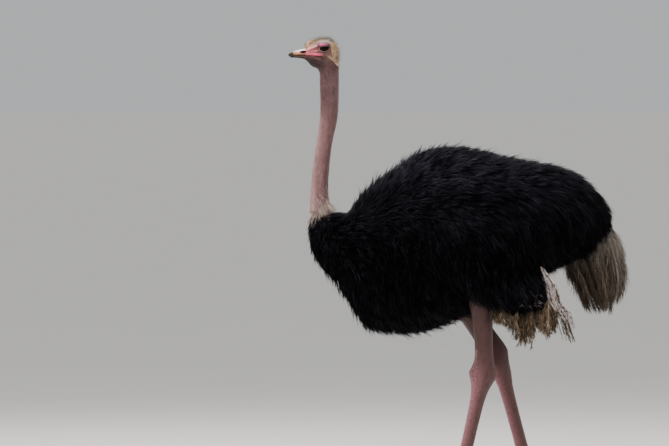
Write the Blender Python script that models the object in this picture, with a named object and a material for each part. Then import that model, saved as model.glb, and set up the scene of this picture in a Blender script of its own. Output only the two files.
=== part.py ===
"""A life-size male ostrich, standing still, as a museum model.

Run with: blender --background --python part.py
Metres, +Z up.  The bird faces -Y and its left side is +X.  The soles stand on z = 0.
Every fleshy or feathered part is a loft through ribs.  A rib is a closed ring round one
section of the body, and the places between the ribs follow a smooth curve.
"""
import math
from collections import namedtuple

import bmesh
import bpy
from mathutils import Matrix, Vector

# ---------------------------------------------------------------- driving dimensions
GAP = 0.0003                # clearance between neighbouring solids
CLEARANCE = 0.0006          # how far a part's cutter stands proud of the part itself
FLOOR = 0.0                 # level that the soles stand on

TRUNK_HALF_WIDTH = 0.27     # at the widest rib, plumage included
EYE_CENTRE = Vector((0.028, -0.575, 1.961))
EYE_RADII = Vector((0.020, 0.0235, 0.0235))

LEG_SPREAD = 0.100          # ankle and foot to the middle plane
THIGH_SPREAD = 0.135        # top of the shank to the middle plane
SHANK_LENGTH = 0.42         # ankle to the end that is buried in the trunk
TARSUS_LENGTH = 0.50
NEAR_ANKLE = (0.107, 0.573)         # (y, z) of the left ankle
NEAR_SHANK_LEAN = math.radians(2.5)   # from upright, + leans the top forward
NEAR_SHANK_BOW = 0.005              # how far the calf stands behind the leg's line
NEAR_TARSUS_LEAN = math.radians(-12.7)
NEAR_HEEL = -0.006          # the heel's bulge, up the leg from the ankle
FAR_ANKLE = (0.180, 0.610)          # (y, z) of the right ankle
FAR_SHANK_LEAN = math.radians(33)
FAR_SHANK_BOW = 0.008
FAR_TARSUS_LEAN = math.radians(15)
FAR_HEEL = 0.030
OUTER_TOE_SPLAY = math.radians(28)
PAD_START = 0.050           # forward of the toe joint, where the sole meets the floor

HEAD_SIDES = 20
NECK_SIDES = 16
TRUNK_SIDES = 22
LIMB_SIDES = 12
PLUME_SIDES = 14
SMALL_SIDES = 10            # claws and other small pieces

# ---------------------------------------------------------------- colours and finish
BLACK_PLUME = (0.010, 0.010, 0.013)
TAIL_PLUME = (0.075, 0.060, 0.045)
PALE_PLUME = (0.42, 0.37, 0.32)
NECK_SKIN = (0.40, 0.24, 0.23)
HEAD_SKIN = (0.46, 0.26, 0.24)
LEG_SKIN = (0.22, 0.11, 0.10)
SCALY_SKIN = (0.34, 0.19, 0.17)
HORN = (0.36, 0.22, 0.17)
CLAW_HORN = (0.13, 0.10, 0.08)
EYE_BROWN = (0.015, 0.009, 0.007)

# ---------------------------------------------------------------- ribs of the body
# Each row: back or upper point (y, z), front or lower point (y, z), half-width, waist.
# The waist is where the rib is widest, from 0 at the lower point to 1 at the upper one.
HEAD_RIBS = [
    ((-0.653, 1.963), (-0.653, 1.911), 0.0300, 0.50),   # root of the bill
    ((-0.646, 1.989), (-0.645, 1.904), 0.0335, 0.50),
    ((-0.629, 1.999), (-0.635, 1.897), 0.0370, 0.55),
    ((-0.594, 2.010), (-0.618, 1.884), 0.0440, 0.60),   # eyes
    ((-0.556, 2.011), (-0.604, 1.874), 0.0450, 0.60),
    ((-0.528, 1.992), (-0.597, 1.861), 0.0430, 0.55),
    ((-0.513, 1.956), (-0.595, 1.846), 0.0410, 0.50),
    ((-0.510, 1.913), (-0.595, 1.831), 0.0400, 0.50),
    ((-0.513, 1.870), (-0.595, 1.814), 0.0380, 0.50),   # throat
]
NECK_RIBS = [
    ((-0.513, 1.810), (-0.594, 1.792), 0.0370, 0.50),
    ((-0.514, 1.741), (-0.593, 1.732), 0.0360, 0.50),
    ((-0.519, 1.663), (-0.594, 1.663), 0.0345, 0.50),
    ((-0.534, 1.595), (-0.603, 1.595), 0.0330, 0.50),
    ((-0.546, 1.526), (-0.616, 1.526), 0.0330, 0.50),
    ((-0.553, 1.457), (-0.624, 1.457), 0.0330, 0.50),
    ((-0.559, 1.388), (-0.632, 1.388), 0.0340, 0.50),
    ((-0.558, 1.328), (-0.637, 1.319), 0.0380, 0.50),   # pale collar
    ((-0.538, 1.281), (-0.642, 1.255), 0.0500, 0.50),   # root of the neck
]
TRUNK_WIDTHS = (0.315, 0.426, 0.556, 0.685, 0.796, 0.889, 0.963, 1.0,
                0.981, 0.907, 0.796, 0.667, 0.519, 0.333, 0.140)
TRUNK_PROFILE = [
    ((-0.487, 1.255), (-0.645, 1.173)),                 # breast
    ((-0.457, 1.289), (-0.627, 1.079)),
    ((-0.414, 1.332), (-0.564, 0.988)),
    ((-0.345, 1.393), (-0.478, 0.885)),
    ((-0.272, 1.446), (-0.393, 0.751)),
    ((-0.186, 1.506), (-0.272, 0.733)),
    ((-0.087, 1.535), (-0.121, 0.751)),
    ((0.029, 1.540), (0.051, 0.826)),                   # top of the back
    ((0.158, 1.509), (0.201, 0.886)),
    ((0.287, 1.479), (0.330, 0.963)),
    ((0.403, 1.461), (0.425, 1.023)),
    ((0.505, 1.432), (0.515, 1.041)),
    ((0.586, 1.369), (0.575, 1.067)),
    ((0.638, 1.299), (0.625, 1.114)),
    ((0.660, 1.242), (0.655, 1.172)),                   # rounded end of the rump
]
TRUNK_RIBS = [(back, front, TRUNK_HALF_WIDTH * share, 0.50)
              for (back, front), share in zip(TRUNK_PROFILE, TRUNK_WIDTHS)]
TAIL_RIBS = [
    ((0.620, 1.250), (0.530, 1.130), 0.060, 0.50),
    ((0.672, 1.205), (0.480, 1.060), 0.110, 0.50),
    ((0.708, 1.120), (0.466, 1.000), 0.140, 0.50),
    ((0.724, 1.030), (0.487, 0.950), 0.145, 0.50),
    ((0.722, 0.945), (0.518, 0.895), 0.135, 0.50),
    ((0.708, 0.885), (0.554, 0.860), 0.110, 0.50),
    ((0.682, 0.850), (0.596, 0.840), 0.060, 0.50),
]

# Bill: y, top, bottom, half-width
BILL_ROOT = -0.653 - GAP
UPPER_BILL_RIBS = [
    (BILL_ROOT, 1.9628, 1.9304, 0.0298),
    (-0.665, 1.9600, 1.9302, 0.0280),
    (-0.680, 1.9575, 1.9300, 0.0255),
    (-0.695, 1.9530, 1.9297, 0.0235),
    (-0.708, 1.9478, 1.9290, 0.0205),
    (-0.718, 1.9438, 1.9277, 0.0165),
    (-0.726, 1.9400, 1.9285, 0.0110),
    (-0.730, 1.9365, 1.9325, 0.0045),                   # blunt hooked tip
]
LOWER_BILL_RIBS = [
    (BILL_ROOT, 1.9294, 1.9114, 0.0292),
    (-0.665, 1.9292, 1.9176, 0.0268),
    (-0.680, 1.9290, 1.9205, 0.0245),
    (-0.695, 1.9287, 1.9222, 0.0220),
    (-0.708, 1.9280, 1.9230, 0.0185),
    (-0.717, 1.9267, 1.9233, 0.0135),
    (-0.722, 1.9258, 1.9240, 0.0060),
]
UPPER_BILL_WAIST = 0.22     # both bills are flat where they meet
LOWER_BILL_WAIST = 0.80

# Folded wing: centre (x, y, z), half-height, half-thickness
WING_RIBS = [
    ((0.130, -0.330, 1.200), 0.050, 0.040),             # shoulder
    ((0.140, -0.240, 1.200), 0.140, 0.091),
    ((0.155, -0.120, 1.165), 0.200, 0.118),
    ((0.170, 0.020, 1.120), 0.225, 0.127),
    ((0.200, 0.150, 1.060), 0.205, 0.093),
    ((0.208, 0.250, 0.995), 0.162, 0.063),
    ((0.204, 0.330, 0.935), 0.104, 0.038),
    ((0.198, 0.374, 0.895), 0.040, 0.016),
]
# Pale quills that hang from the wing: back (y, z), front (y, z), half-thickness
WING_PLUME_MIDDLE = 0.195   # from the middle plane
WING_PLUME_RIBS = [
    ((0.364, 1.030), (0.342, 1.020), 0.010),
    ((0.404, 0.945), (0.280, 0.905), 0.022),
    ((0.440, 0.870), (0.180, 0.830), 0.030),
    ((0.468, 0.795), (0.195, 0.755), 0.029),
    ((0.484, 0.735), (0.225, 0.700), 0.022),
    ((0.474, 0.700), (0.275, 0.680), 0.011),
]

# Leg: distance from the ankle, half-depth fore and aft, half-width. The shank has two
# half-depths: the straight left one, then the bent right one, whose muscle is drawn up.
SHANK_RIBS = [
    (SHANK_LENGTH, 0.078, 0.078, 0.070),
    (0.35, 0.066, 0.068, 0.062),
    (0.28, 0.0495, 0.056, 0.053),
    (0.20, 0.0430, 0.0495, 0.044),
    (0.12, 0.0395, 0.0495, 0.037),
    (0.06, 0.0415, 0.0480, 0.037),
    (0.022, 0.048, 0.048, 0.041),
]
TARSUS_RIBS = [
    (0.022, 0.050, 0.042),
    (0.06, 0.041, 0.034),
    (0.10, 0.0335, 0.029),
    (0.14, 0.0300, 0.026),
    (0.25, 0.0276, 0.024),
    (0.38, 0.0275, 0.025),
    (0.46, 0.032, 0.032),
    (TARSUS_LENGTH, 0.036, 0.040),
]
ANKLE_KNOB = 0.013          # how far the ankle stands forward of the leg's line
HEEL_BULGE = 0.018          # how far the heel stands behind the ankle's own depth

# Toes: front or upper point (forward, z), back or lower point (forward, z), half-width.
# Forward is from the joint at the foot of the tarsus.
NEAR_TOE_BEND = [
    ((0.052, 0.080), (-0.020, 0.045), 0.038),
    ((0.068, 0.071), (0.012, 0.016), 0.035),
]
FAR_TOE_BEND = [
    ((0.049, 0.106), (-0.038, 0.094), 0.039),
    ((0.062, 0.090), (-0.028, 0.052), 0.037),
    ((0.075, 0.076), (0.004, 0.018), 0.035),
]
# The flat stretch of the main toe, forward from PAD_START
MAIN_TOE_FLAT = [
    ((0.038, 0.064), (0.000, -0.006), 0.033),
    ((0.062, 0.056), (0.047, -0.010), 0.031),
    ((0.092, 0.052), (0.092, -0.010), 0.030),
    ((0.122, 0.049), (0.124, -0.010), 0.030),
    ((0.147, 0.043), (0.152, -0.008), 0.027),
    ((0.162, 0.030), (0.166, 0.004), 0.018),
]
# Claw of the main toe, forward from PAD_START: forward, top, bottom, half-width
CLAW_RIBS = [
    (0.128, 0.0500, 0.020, 0.0165),
    (0.150, 0.0470, 0.011, 0.0170),
    (0.172, 0.0380, 0.005, 0.0150),
    (0.192, 0.0260, 0.003, 0.0110),
    (0.206, 0.0160, 0.003, 0.0065),
    (0.213, 0.0090, 0.004, 0.0025),
]
# Outer toe, along its own line: distance, top, bottom, half-width
OUTER_TOE_START = (0.020, 0.028)    # outward and forward of the joint
OUTER_TOE_RIBS = [
    (-0.020, 0.082, 0.036, 0.022),
    (0.015, 0.068, 0.012, 0.0225),
    (0.045, 0.052, -0.005, 0.0215),
    (0.075, 0.044, -0.008, 0.0205),
    (0.105, 0.038, -0.008, 0.0190),
    (0.125, 0.029, -0.004, 0.0150),
    (0.136, 0.020, 0.004, 0.0080),
]

Rib = namedtuple("Rib", "upper lower side waist")


# ---------------------------------------------------------------- ribs and lofts
def upright_rib(upper, lower, half_width, waist=0.5, x=0.0):
    """A rib across the body: both points lie in one fore-and-aft plane at x."""
    return Rib(Vector((x, *upper)), Vector((x, *lower)), Vector((half_width, 0, 0)), waist)


def blend(values, share):
    """Catmull-Rom value between the middle two of four vectors or numbers."""
    before, start, end, after = values
    square, cube = share * share, share * share * share
    return 0.5 * (2 * start + (end - before) * share
                  + (2 * before - 5 * start + 4 * end - after) * square
                  + (3 * start - before - 3 * end + after) * cube)


def smooth(ribs, steps):
    """Ribs with steps - 1 more between each pair, along a smooth curve."""
    last = len(ribs) - 1
    result = []
    for index in range(last):
        four = [ribs[min(max(index + shift, 0), last)] for shift in (-1, 0, 1, 2)]
        for step in range(steps):
            fields = [blend(values, step / steps) for values in zip(*four)]
            result.append(Rib(*fields))
    result.append(ribs[-1])
    return result


def shifted(rib, distance):
    """The rib moved along its own normal, towards its neighbours."""
    normal = (rib.upper - rib.lower).cross(rib.side).normalized()
    move = normal * distance
    return Rib(rib.upper + move, rib.lower + move, rib.side, rib.waist)


def grown(ribs, margin):
    """Ribs a little larger all round, for a cutter."""
    result = []
    for rib in ribs:
        reach = (rib.upper - rib.lower).normalized() * margin
        side = rib.side.normalized() * (rib.side.length + margin)
        result.append(Rib(rib.upper + reach, rib.lower - reach, side, rib.waist))
    return result


def ring_points(rib, sides):
    """Points round a rib, which is two half-ellipses that meet at its waist."""
    height = rib.upper - rib.lower
    centre = rib.lower + height * rib.waist
    points = []
    for index in range(sides):
        angle = 2 * math.pi * (index + 0.5) / sides
        rise = math.cos(angle)
        reach = 1 - rib.waist if rise > 0 else rib.waist
        point = centre + height * (rise * reach) + rib.side * math.sin(angle)
        point.z = max(point.z, FLOOR)
        points.append(point)
    return points


def loft(name, ribs, sides, material=None):
    """One closed solid through the ribs; without a material it is a cutter."""
    shape = bmesh.new()
    rings = [[shape.verts.new(point) for point in ring_points(rib, sides)] for rib in ribs]
    for near, far in zip(rings, rings[1:]):
        for index in range(sides):
            after = (index + 1) % sides
            shape.faces.new((near[index], near[after], far[after], far[index]))
    shape.faces.new(rings[0])
    shape.faces.new(rings[-1])
    bmesh.ops.recalc_face_normals(shape, faces=shape.faces)
    bmesh.ops.triangulate(shape, faces=shape.faces, quad_method="FIXED")
    return add_object(name, shape, material)


def ellipsoid(name, centre, radii, material=None):
    """A sphere stretched to its three radii."""
    shape = bmesh.new()
    bmesh.ops.create_uvsphere(shape, u_segments=14, v_segments=8, radius=1,
                              matrix=Matrix.Rotation(math.pi / 2, 4, "Y"))
    bmesh.ops.transform(shape, matrix=Matrix.Diagonal((*radii, 1)), verts=shape.verts)
    built = add_object(name, shape, material)
    built.location = centre
    return built


def add_object(name, shape, material):
    """Turn a bmesh into a part of the bird, or into a hidden cutter."""
    mesh = bpy.data.meshes.new(name)
    shape.to_mesh(mesh)
    shape.free()
    built = bpy.data.objects.new(name, mesh)
    if material:
        mesh.shade_smooth()
        mesh.set_sharp_from_angle(angle=math.radians(50))
        mesh.materials.append(material)
        BIRD.objects.link(built)
    else:
        built.hide_render = True
        built.display_type = "WIRE"
        CUTTERS.objects.link(built)
    return built


def cut(part, *cutters):
    """Take the cutters out of the part."""
    for cutter in cutters:
        boolean = part.modifiers.new(f"clear_{cutter.name}", "BOOLEAN")
        boolean.operation = "DIFFERENCE"
        boolean.solver = "EXACT"
        boolean.object = cutter


def finish(name, colour, roughness):
    """A plain Principled material for one object."""
    material = bpy.data.materials.new(name)
    material.use_nodes = True
    shader = material.node_tree.nodes["Principled BSDF"]
    shader.inputs["Base Color"].default_value = (*colour, 1)
    shader.inputs["Roughness"].default_value = roughness
    shader.inputs["Metallic"].default_value = 0
    material.diffuse_color = (*colour, 1)
    return material


# ---------------------------------------------------------------- head, neck and trunk
def body_lengths():
    """The ribs of the head, three neck lengths and the trunk, parted by thin cuts."""
    ribs = [upright_rib(*row) for row in HEAD_RIBS + NECK_RIBS + TRUNK_RIBS]
    steps = 2
    line = smooth(ribs, steps)
    neck_start = (len(HEAD_RIBS) - 1) * steps
    trunk_start = (len(HEAD_RIBS) + len(NECK_RIBS) - 1) * steps
    third = (trunk_start - neck_start) / 3
    ends = [0, neck_start, neck_start + round(third), neck_start + round(2 * third),
            trunk_start, len(line) - 1]
    lengths = []
    for start, end in zip(ends, ends[1:]):
        part = line[start:end + 1]
        part[0] = trimmed(part[0], part[1]) if start else part[0]
        part[-1] = trimmed(part[-1], part[-2]) if end < len(line) - 1 else part[-1]
        lengths.append(part)
    return lengths


def trimmed(rib, towards):
    """The end rib drawn back by half a gap towards its neighbour."""
    moved = shifted(rib, GAP / 2)
    away = shifted(rib, -GAP / 2)
    middle = (towards.upper + towards.lower) / 2
    nearer = (moved.upper + moved.lower) / 2 - middle
    farther = (away.upper + away.lower) / 2 - middle
    return moved if nearer.length < farther.length else away


def build_body():
    """Head, neck and trunk; returns the trunk's cutter."""
    head, neck_upper, neck_middle, neck_lower, trunk = body_lengths()
    head_solid = loft("head", head, HEAD_SIDES, finish("head_skin", HEAD_SKIN, 0.6))
    for name, ribs in (("neck_upper", neck_upper), ("neck_middle", neck_middle),
                       ("neck_lower", neck_lower)):
        loft(name, ribs, NECK_SIDES, finish(f"{name}_skin", NECK_SKIN, 0.65))
    loft("trunk", trunk, TRUNK_SIDES, finish("trunk_plumage", BLACK_PLUME, 0.8))
    build_eyes(head_solid)
    build_bill()
    trunk_space = grown(trunk, CLEARANCE)
    trunk_space.append(shifted(trunk_space[-1], CLEARANCE))
    return loft("trunk_space", trunk_space, TRUNK_SIDES)


def build_eyes(head_solid):
    """Two eyeballs, each in a socket cut into the head."""
    for side, label in ((1, "left"), (-1, "right")):
        centre = Vector((side * EYE_CENTRE.x, EYE_CENTRE.y, EYE_CENTRE.z))
        ellipsoid(f"eye_{label}", centre, EYE_RADII, finish(f"eye_{label}", EYE_BROWN, 0.08))
        room = EYE_RADII + Vector((GAP, GAP, GAP))
        cut(head_solid, ellipsoid(f"eye_socket_{label}", centre, room))


def build_bill():
    """Upper and lower horn of the bill, in front of the head."""
    for name, rows, waist in (("bill_upper", UPPER_BILL_RIBS, UPPER_BILL_WAIST),
                              ("bill_lower", LOWER_BILL_RIBS, LOWER_BILL_WAIST)):
        ribs = [upright_rib((y, top), (y, bottom), half_width, waist)
                for y, top, bottom, half_width in rows]
        loft(name, smooth(ribs, 2), LIMB_SIDES, finish(f"{name}_horn", HORN, 0.4))


def build_tail(trunk_space):
    """The drooping bunch of tail plumes behind the rump."""
    ribs = smooth([upright_rib(*row) for row in TAIL_RIBS], 2)
    tail = loft("tail", ribs, PLUME_SIDES, finish("tail_plumes", TAIL_PLUME, 0.85))
    cut(tail, trunk_space)


def build_wing(side, label, trunk_space):
    """A folded wing on the flank, and its pale quills; returns the wing's cutter."""
    ribs = []
    for (x, y, z), half_height, half_thickness in WING_RIBS:
        centre = Vector((side * x, y, z))
        rise = Vector((0, 0, half_height))
        ribs.append(Rib(centre + rise, centre - rise, Vector((half_thickness, 0, 0)), 0.5))
    ribs = smooth(ribs, 2)
    wing = loft(f"wing_{label}", ribs, PLUME_SIDES,
                finish(f"wing_{label}_plumage", BLACK_PLUME, 0.8))
    cut(wing, trunk_space)
    wing_space = loft(f"wing_space_{label}", grown(ribs, CLEARANCE), PLUME_SIDES)

    quills = smooth([upright_rib(back, front, half_thickness, x=side * WING_PLUME_MIDDLE)
                     for back, front, half_thickness in WING_PLUME_RIBS], 2)
    plumes = loft(f"wing_plumes_{label}", quills, SMALL_SIDES,
                  finish(f"wing_plumes_{label}", PALE_PLUME, 0.85))
    cut(plumes, trunk_space, wing_space)
    return wing_space


# ---------------------------------------------------------------- legs and feet
def limb_rib(ankle, lean, distance, half_depth, half_width, x, forward=0.0, back=0.0):
    """A rib square to a straight limb that leaves the ankle at the given lean."""
    along = Vector((0, -math.sin(lean), math.cos(lean)))
    ahead = Vector((0, -math.cos(lean), -math.sin(lean)))
    centre = Vector((x, *ankle)) + along * distance + ahead * forward
    return Rib(centre + ahead * half_depth, centre - ahead * (half_depth + back),
               Vector((half_width, 0, 0)), 0.5)


def knob(distance):
    """How far the ankle's knob carries a rib forward at a distance from the ankle."""
    return ANKLE_KNOB * math.exp(-(distance / 0.038) ** 2)


def heel(place, distance):
    """How far the heel carries a rib's back edge backward."""
    return HEEL_BULGE * math.exp(-((distance - place) / 0.033) ** 2)


def calf(bow, distance):
    """How far the calf's bow carries a rib backward."""
    return bow * (1 - math.exp(-((distance + 0.03) / 0.05) ** 2))


def build_shank(side, label, ankle, lean, bow, heel_place, trunk_space, wing_space):
    """The bare drumstick, from the trunk down to the ankle."""
    ribs = []
    for distance, straight_depth, bent_depth, half_width in SHANK_RIBS:
        half_depth = straight_depth if side > 0 else bent_depth
        spread = LEG_SPREAD + (THIGH_SPREAD - LEG_SPREAD) * distance / SHANK_LENGTH
        ribs.append(limb_rib(ankle, lean, distance, half_depth, half_width,
                             side * spread, knob(distance) - calf(bow, distance),
                             heel(heel_place, distance)))
    shank = loft(f"shank_{label}", smooth(ribs, 2), LIMB_SIDES,
                 finish(f"shank_{label}_skin", LEG_SKIN, 0.6))
    cut(shank, trunk_space, wing_space)


def foot_ribs(bend, joint, x):
    """The main toe from the joint: a bend, then a flat stretch on the floor."""
    rows = list(bend)
    for (top_forward, top), (low_forward, low), half_width in MAIN_TOE_FLAT:
        rows.append(((PAD_START + top_forward, top), (PAD_START + low_forward, low), half_width))
    return [upright_rib((joint.y - top_forward, top), (joint.y - low_forward, low), half_width, x=x)
            for (top_forward, top), (low_forward, low), half_width in rows]


def ankle_link(side, ankle, shank_lean, bow, heel_place, tarsus_lean):
    """First ribs of the tarsus: they round the bend at the ankle."""
    top = limb_rib(ankle, shank_lean, 0.022 - GAP, 0.0478, 0.041,
                   side * (LEG_SPREAD + 0.002), knob(0.022) - calf(bow, 0.022),
                   heel(heel_place, 0.022))
    middle_lean = (shank_lean + tarsus_lean) / 2
    middle = limb_rib(ankle, middle_lean, 0, 0.0515, 0.0425, side * LEG_SPREAD, knob(0),
                      heel(heel_place, 0))
    return [top, middle]


def build_lower_leg(side, label, ankle, shank_lean, bow, heel_place, tarsus_lean, bend):
    """Tarsus, two toes and the claw, the toes flat on the floor."""
    x = side * LEG_SPREAD
    ribs = ankle_link(side, ankle, shank_lean, bow, heel_place, tarsus_lean)
    for distance, half_depth, half_width in TARSUS_RIBS:
        ribs.append(limb_rib(ankle, tarsus_lean, -distance, half_depth, half_width, x,
                             knob(distance), heel(heel_place, -distance)))
    joint = (ribs[-1].upper + ribs[-1].lower) / 2
    shin_count = len(ribs)
    line = smooth(ribs + foot_ribs(bend, joint, x), 2)
    parting = (shin_count - 1) * 2
    shin = line[:parting + 1]
    shin[-1] = trimmed(shin[-1], shin[-2])
    toe = line[parting:]
    toe[0] = trimmed(toe[0], toe[1])
    loft(f"tarsus_{label}", shin, LIMB_SIDES, finish(f"tarsus_{label}_skin", SCALY_SKIN, 0.55))
    loft(f"toe_main_{label}", toe, LIMB_SIDES,
         finish(f"toe_main_{label}_skin", SCALY_SKIN, 0.55))
    toe_space = loft(f"toe_space_{label}", grown(toe, CLEARANCE), LIMB_SIDES)
    shin_space = loft(f"shin_space_{label}", grown(shin, CLEARANCE), LIMB_SIDES)
    build_claw(label, joint, x, toe_space)
    build_outer_toe(side, label, joint, x, toe_space, shin_space)


def build_claw(label, joint, x, toe_space):
    """The thick blunt claw of the main toe."""
    start = joint.y - PAD_START
    ribs = [upright_rib((start - forward, top), (start - forward, bottom), half_width, x=x)
            for forward, top, bottom, half_width in CLAW_RIBS]
    claw = loft(f"claw_{label}", smooth(ribs, 2), SMALL_SIDES,
                finish(f"claw_{label}_horn", CLAW_HORN, 0.4))
    cut(claw, toe_space)


def build_outer_toe(side, label, joint, x, toe_space, shin_space):
    """The small outer toe, which has no claw."""
    ahead = Vector((side * math.sin(OUTER_TOE_SPLAY), -math.cos(OUTER_TOE_SPLAY), 0))
    across = Vector((math.cos(OUTER_TOE_SPLAY), side * math.sin(OUTER_TOE_SPLAY), 0))
    outward, forward = OUTER_TOE_START
    start = Vector((x + side * outward, joint.y - forward, 0))
    ribs = []
    for distance, top, bottom, half_width in OUTER_TOE_RIBS:
        place = start + ahead * distance
        ribs.append(Rib(place + Vector((0, 0, top)), place + Vector((0, 0, bottom)),
                        across * half_width, 0.5))
    toe = loft(f"toe_outer_{label}", smooth(ribs, 2), SMALL_SIDES,
               finish(f"toe_outer_{label}_skin", SCALY_SKIN, 0.55))
    cut(toe, toe_space, shin_space)


# ---------------------------------------------------------------- the whole bird
for old in list(bpy.data.objects):
    bpy.data.objects.remove(old)
BIRD = bpy.data.collections.new("ostrich")
CUTTERS = bpy.data.collections.new("cutters")
bpy.context.scene.collection.children.link(BIRD)
bpy.context.scene.collection.children.link(CUTTERS)

TRUNK_SPACE = build_body()
build_tail(TRUNK_SPACE)
for SIDE, LABEL, ANKLE, LEAN, BOW, HEEL, TARSUS_LEAN, BEND in (
        (1, "left", NEAR_ANKLE, NEAR_SHANK_LEAN, NEAR_SHANK_BOW, NEAR_HEEL, NEAR_TARSUS_LEAN,
         NEAR_TOE_BEND),
        (-1, "right", FAR_ANKLE, FAR_SHANK_LEAN, FAR_SHANK_BOW, FAR_HEEL, FAR_TARSUS_LEAN,
         FAR_TOE_BEND)):
    WING_SPACE = build_wing(SIDE, LABEL, TRUNK_SPACE)
    build_shank(SIDE, LABEL, ANKLE, LEAN, BOW, HEEL, TRUNK_SPACE, WING_SPACE)
    build_lower_leg(SIDE, LABEL, ANKLE, LEAN, BOW, HEEL, TARSUS_LEAN, BEND)
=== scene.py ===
"""A life-size male ostrich: skin, bill, eyes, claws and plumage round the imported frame.

Metres, +Z up.  The bird faces -Y and its left side is +X.  One skin covers the head, neck,
trunk and legs.  The plumage is solid strands in tufts that follow the lie of the feathers.
"""
import math

import bpy
import numpy as np
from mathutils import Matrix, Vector, noise
from mathutils.bvhtree import BVHTree


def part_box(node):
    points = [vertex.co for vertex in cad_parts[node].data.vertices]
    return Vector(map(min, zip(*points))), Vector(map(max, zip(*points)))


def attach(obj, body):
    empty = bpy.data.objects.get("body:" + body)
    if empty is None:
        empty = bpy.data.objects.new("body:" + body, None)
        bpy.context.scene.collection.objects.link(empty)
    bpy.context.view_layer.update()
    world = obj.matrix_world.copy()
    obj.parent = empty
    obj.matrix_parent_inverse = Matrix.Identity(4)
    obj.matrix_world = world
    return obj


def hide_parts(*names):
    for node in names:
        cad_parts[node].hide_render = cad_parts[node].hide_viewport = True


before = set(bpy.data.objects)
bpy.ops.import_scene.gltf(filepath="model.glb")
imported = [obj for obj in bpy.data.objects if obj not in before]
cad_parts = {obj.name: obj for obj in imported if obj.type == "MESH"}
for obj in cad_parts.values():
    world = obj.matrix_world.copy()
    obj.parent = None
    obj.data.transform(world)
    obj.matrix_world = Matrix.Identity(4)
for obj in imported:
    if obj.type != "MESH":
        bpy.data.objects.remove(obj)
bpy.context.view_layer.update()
bpy.ops.object.select_all(action="DESELECT")
SIDES = (("left", 1), ("right", -1))
LEG_NODES = ("shank", "tarsus", "toe_main", "toe_outer")
NECK_NODES = ("neck_upper", "neck_middle", "neck_lower")


# --- meshes as arrays
def read(items, key, width=3, kind=np.float32):
    """What a mesh's points, edges or faces hold under one key, in rows."""
    values = np.empty(len(items) * width, kind)
    items.foreach_get(key, values)
    return values.reshape(-1, width)


def read_points(mesh):
    """A mesh's points."""
    return read(mesh.vertices, "co").astype(float)


def read_normals(mesh):
    """A mesh's point normals."""
    return read(mesh.vertex_normals, "vector").astype(float)


def write_points(mesh, points):
    """Put a mesh's points at new places."""
    mesh.vertices.foreach_set("co", points.astype(np.float32).ravel())
    mesh.update()


def push(mesh, move):
    """Move a mesh's points along their normals."""
    write_points(mesh, read_points(mesh) + read_normals(mesh) * np.reshape(move, (-1, 1)))


def write_values(mesh, name, values):
    """Give a mesh one number or one colour for each point."""
    if values.ndim == 1:
        layer = mesh.attributes.new(name, "FLOAT", "POINT")
        layer.data.foreach_set("value", values.astype(np.float32))
    else:
        layer = mesh.attributes.new(name, "FLOAT_COLOR", "POINT")
        full = np.insert(values, 3, 1, axis=1)
        layer.data.foreach_set("color", np.clip(full, 0, 1).astype(np.float32).ravel())


def placed(name, mesh):
    """A new object for a mesh."""
    piece = bpy.data.objects.new(name, mesh)
    bpy.context.collection.objects.link(piece)
    return piece


def unit(vectors):
    """Vectors made one long."""
    return vectors / (np.linalg.norm(vectors, axis=-1, keepdims=True) + 1e-12)


def eased(value, low, high):
    """0 at low, 1 at high and smooth between them."""
    share = np.clip((value - low) / (high - low), 0, 1)
    return share * share * (3 - 2 * share)


def folded(points):
    """The points with the right side folded onto the left."""
    result = points.copy()
    result[:, 0] = np.abs(result[:, 0])
    return result


def bell(value, middle, width):
    """1 where a value is at the middle, fading over the width."""
    return np.exp(-((value - middle) / width) ** 2)


def knoll(points, centre, radii):
    """1 at a centre and fading beyond its radii, on both sides alike."""
    offset = (folded(points) - np.array(centre)) / np.array(radii)
    return np.exp(-(offset ** 2).sum(1))


def from_line(points, path):
    """Distance of each point to a path in the side view."""
    path = np.array(path, float)
    best = np.full(len(points), 1e9)
    for start, end in zip(path, path[1:]):
        step = end - start
        share = np.clip((points[:, 1:] - start) @ step / (step @ step), 0, 1)
        gap = points[:, 1:] - start - share[:, None] * step
        best = np.minimum(best, np.linalg.norm(gap, axis=1))
    return best


def crease(points, path, width):
    """1 on a path in the side view, fading over the width."""
    return bell(from_line(points, path), 0, width)


def raised(path, height):
    """A path in the side view moved up."""
    return tuple((y, z + height) for y, z in path)


def ripple(points, scale, stretch=(1, 1, 1)):
    """Smooth noise from about -1 to 1."""
    return np.array([noise.noise(Vector(point)) for point in points * (np.array(stretch) * scale)])


# --- making and shaping pieces
def only(piece):
    """Select one object alone and make it active."""
    bpy.ops.object.select_all(action="DESELECT")
    piece.select_set(True)
    bpy.context.view_layer.objects.active = piece


def settle(piece):
    """Put an object's place, turn and scale into its mesh."""
    only(piece)
    bpy.ops.object.transform_apply(location=True, rotation=True, scale=True)
    return piece


def joined(first, *others):
    """The first object with the others joined to it."""
    only(first)
    for piece in others:
        piece.select_set(True)
    bpy.ops.object.join()
    return first


def copied(name, *nodes, swell):
    """A welded copy of some CAD nodes as one new object, swollen along its normals."""
    bpy.ops.object.select_all(action="DESELECT")
    for node in nodes:
        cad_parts[node].select_set(True)
    bpy.context.view_layer.objects.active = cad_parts[nodes[0]]
    bpy.ops.object.duplicate()
    if len(nodes) > 1:
        bpy.ops.object.join()
    piece = bpy.context.active_object
    piece.parent = None
    for key in list(piece.keys()):
        del piece[key]
    piece.name = name
    piece.data.name = name
    piece.data.materials.clear()
    bpy.ops.object.mode_set(mode="EDIT")
    bpy.ops.mesh.select_all(action="SELECT")
    bpy.ops.mesh.remove_doubles(threshold=0.00001)
    bpy.ops.mesh.customdata_custom_splitnormals_clear()
    bpy.ops.object.mode_set(mode="OBJECT")
    bpy.ops.object.shade_smooth()
    push(piece.data, swell)
    return piece


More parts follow.
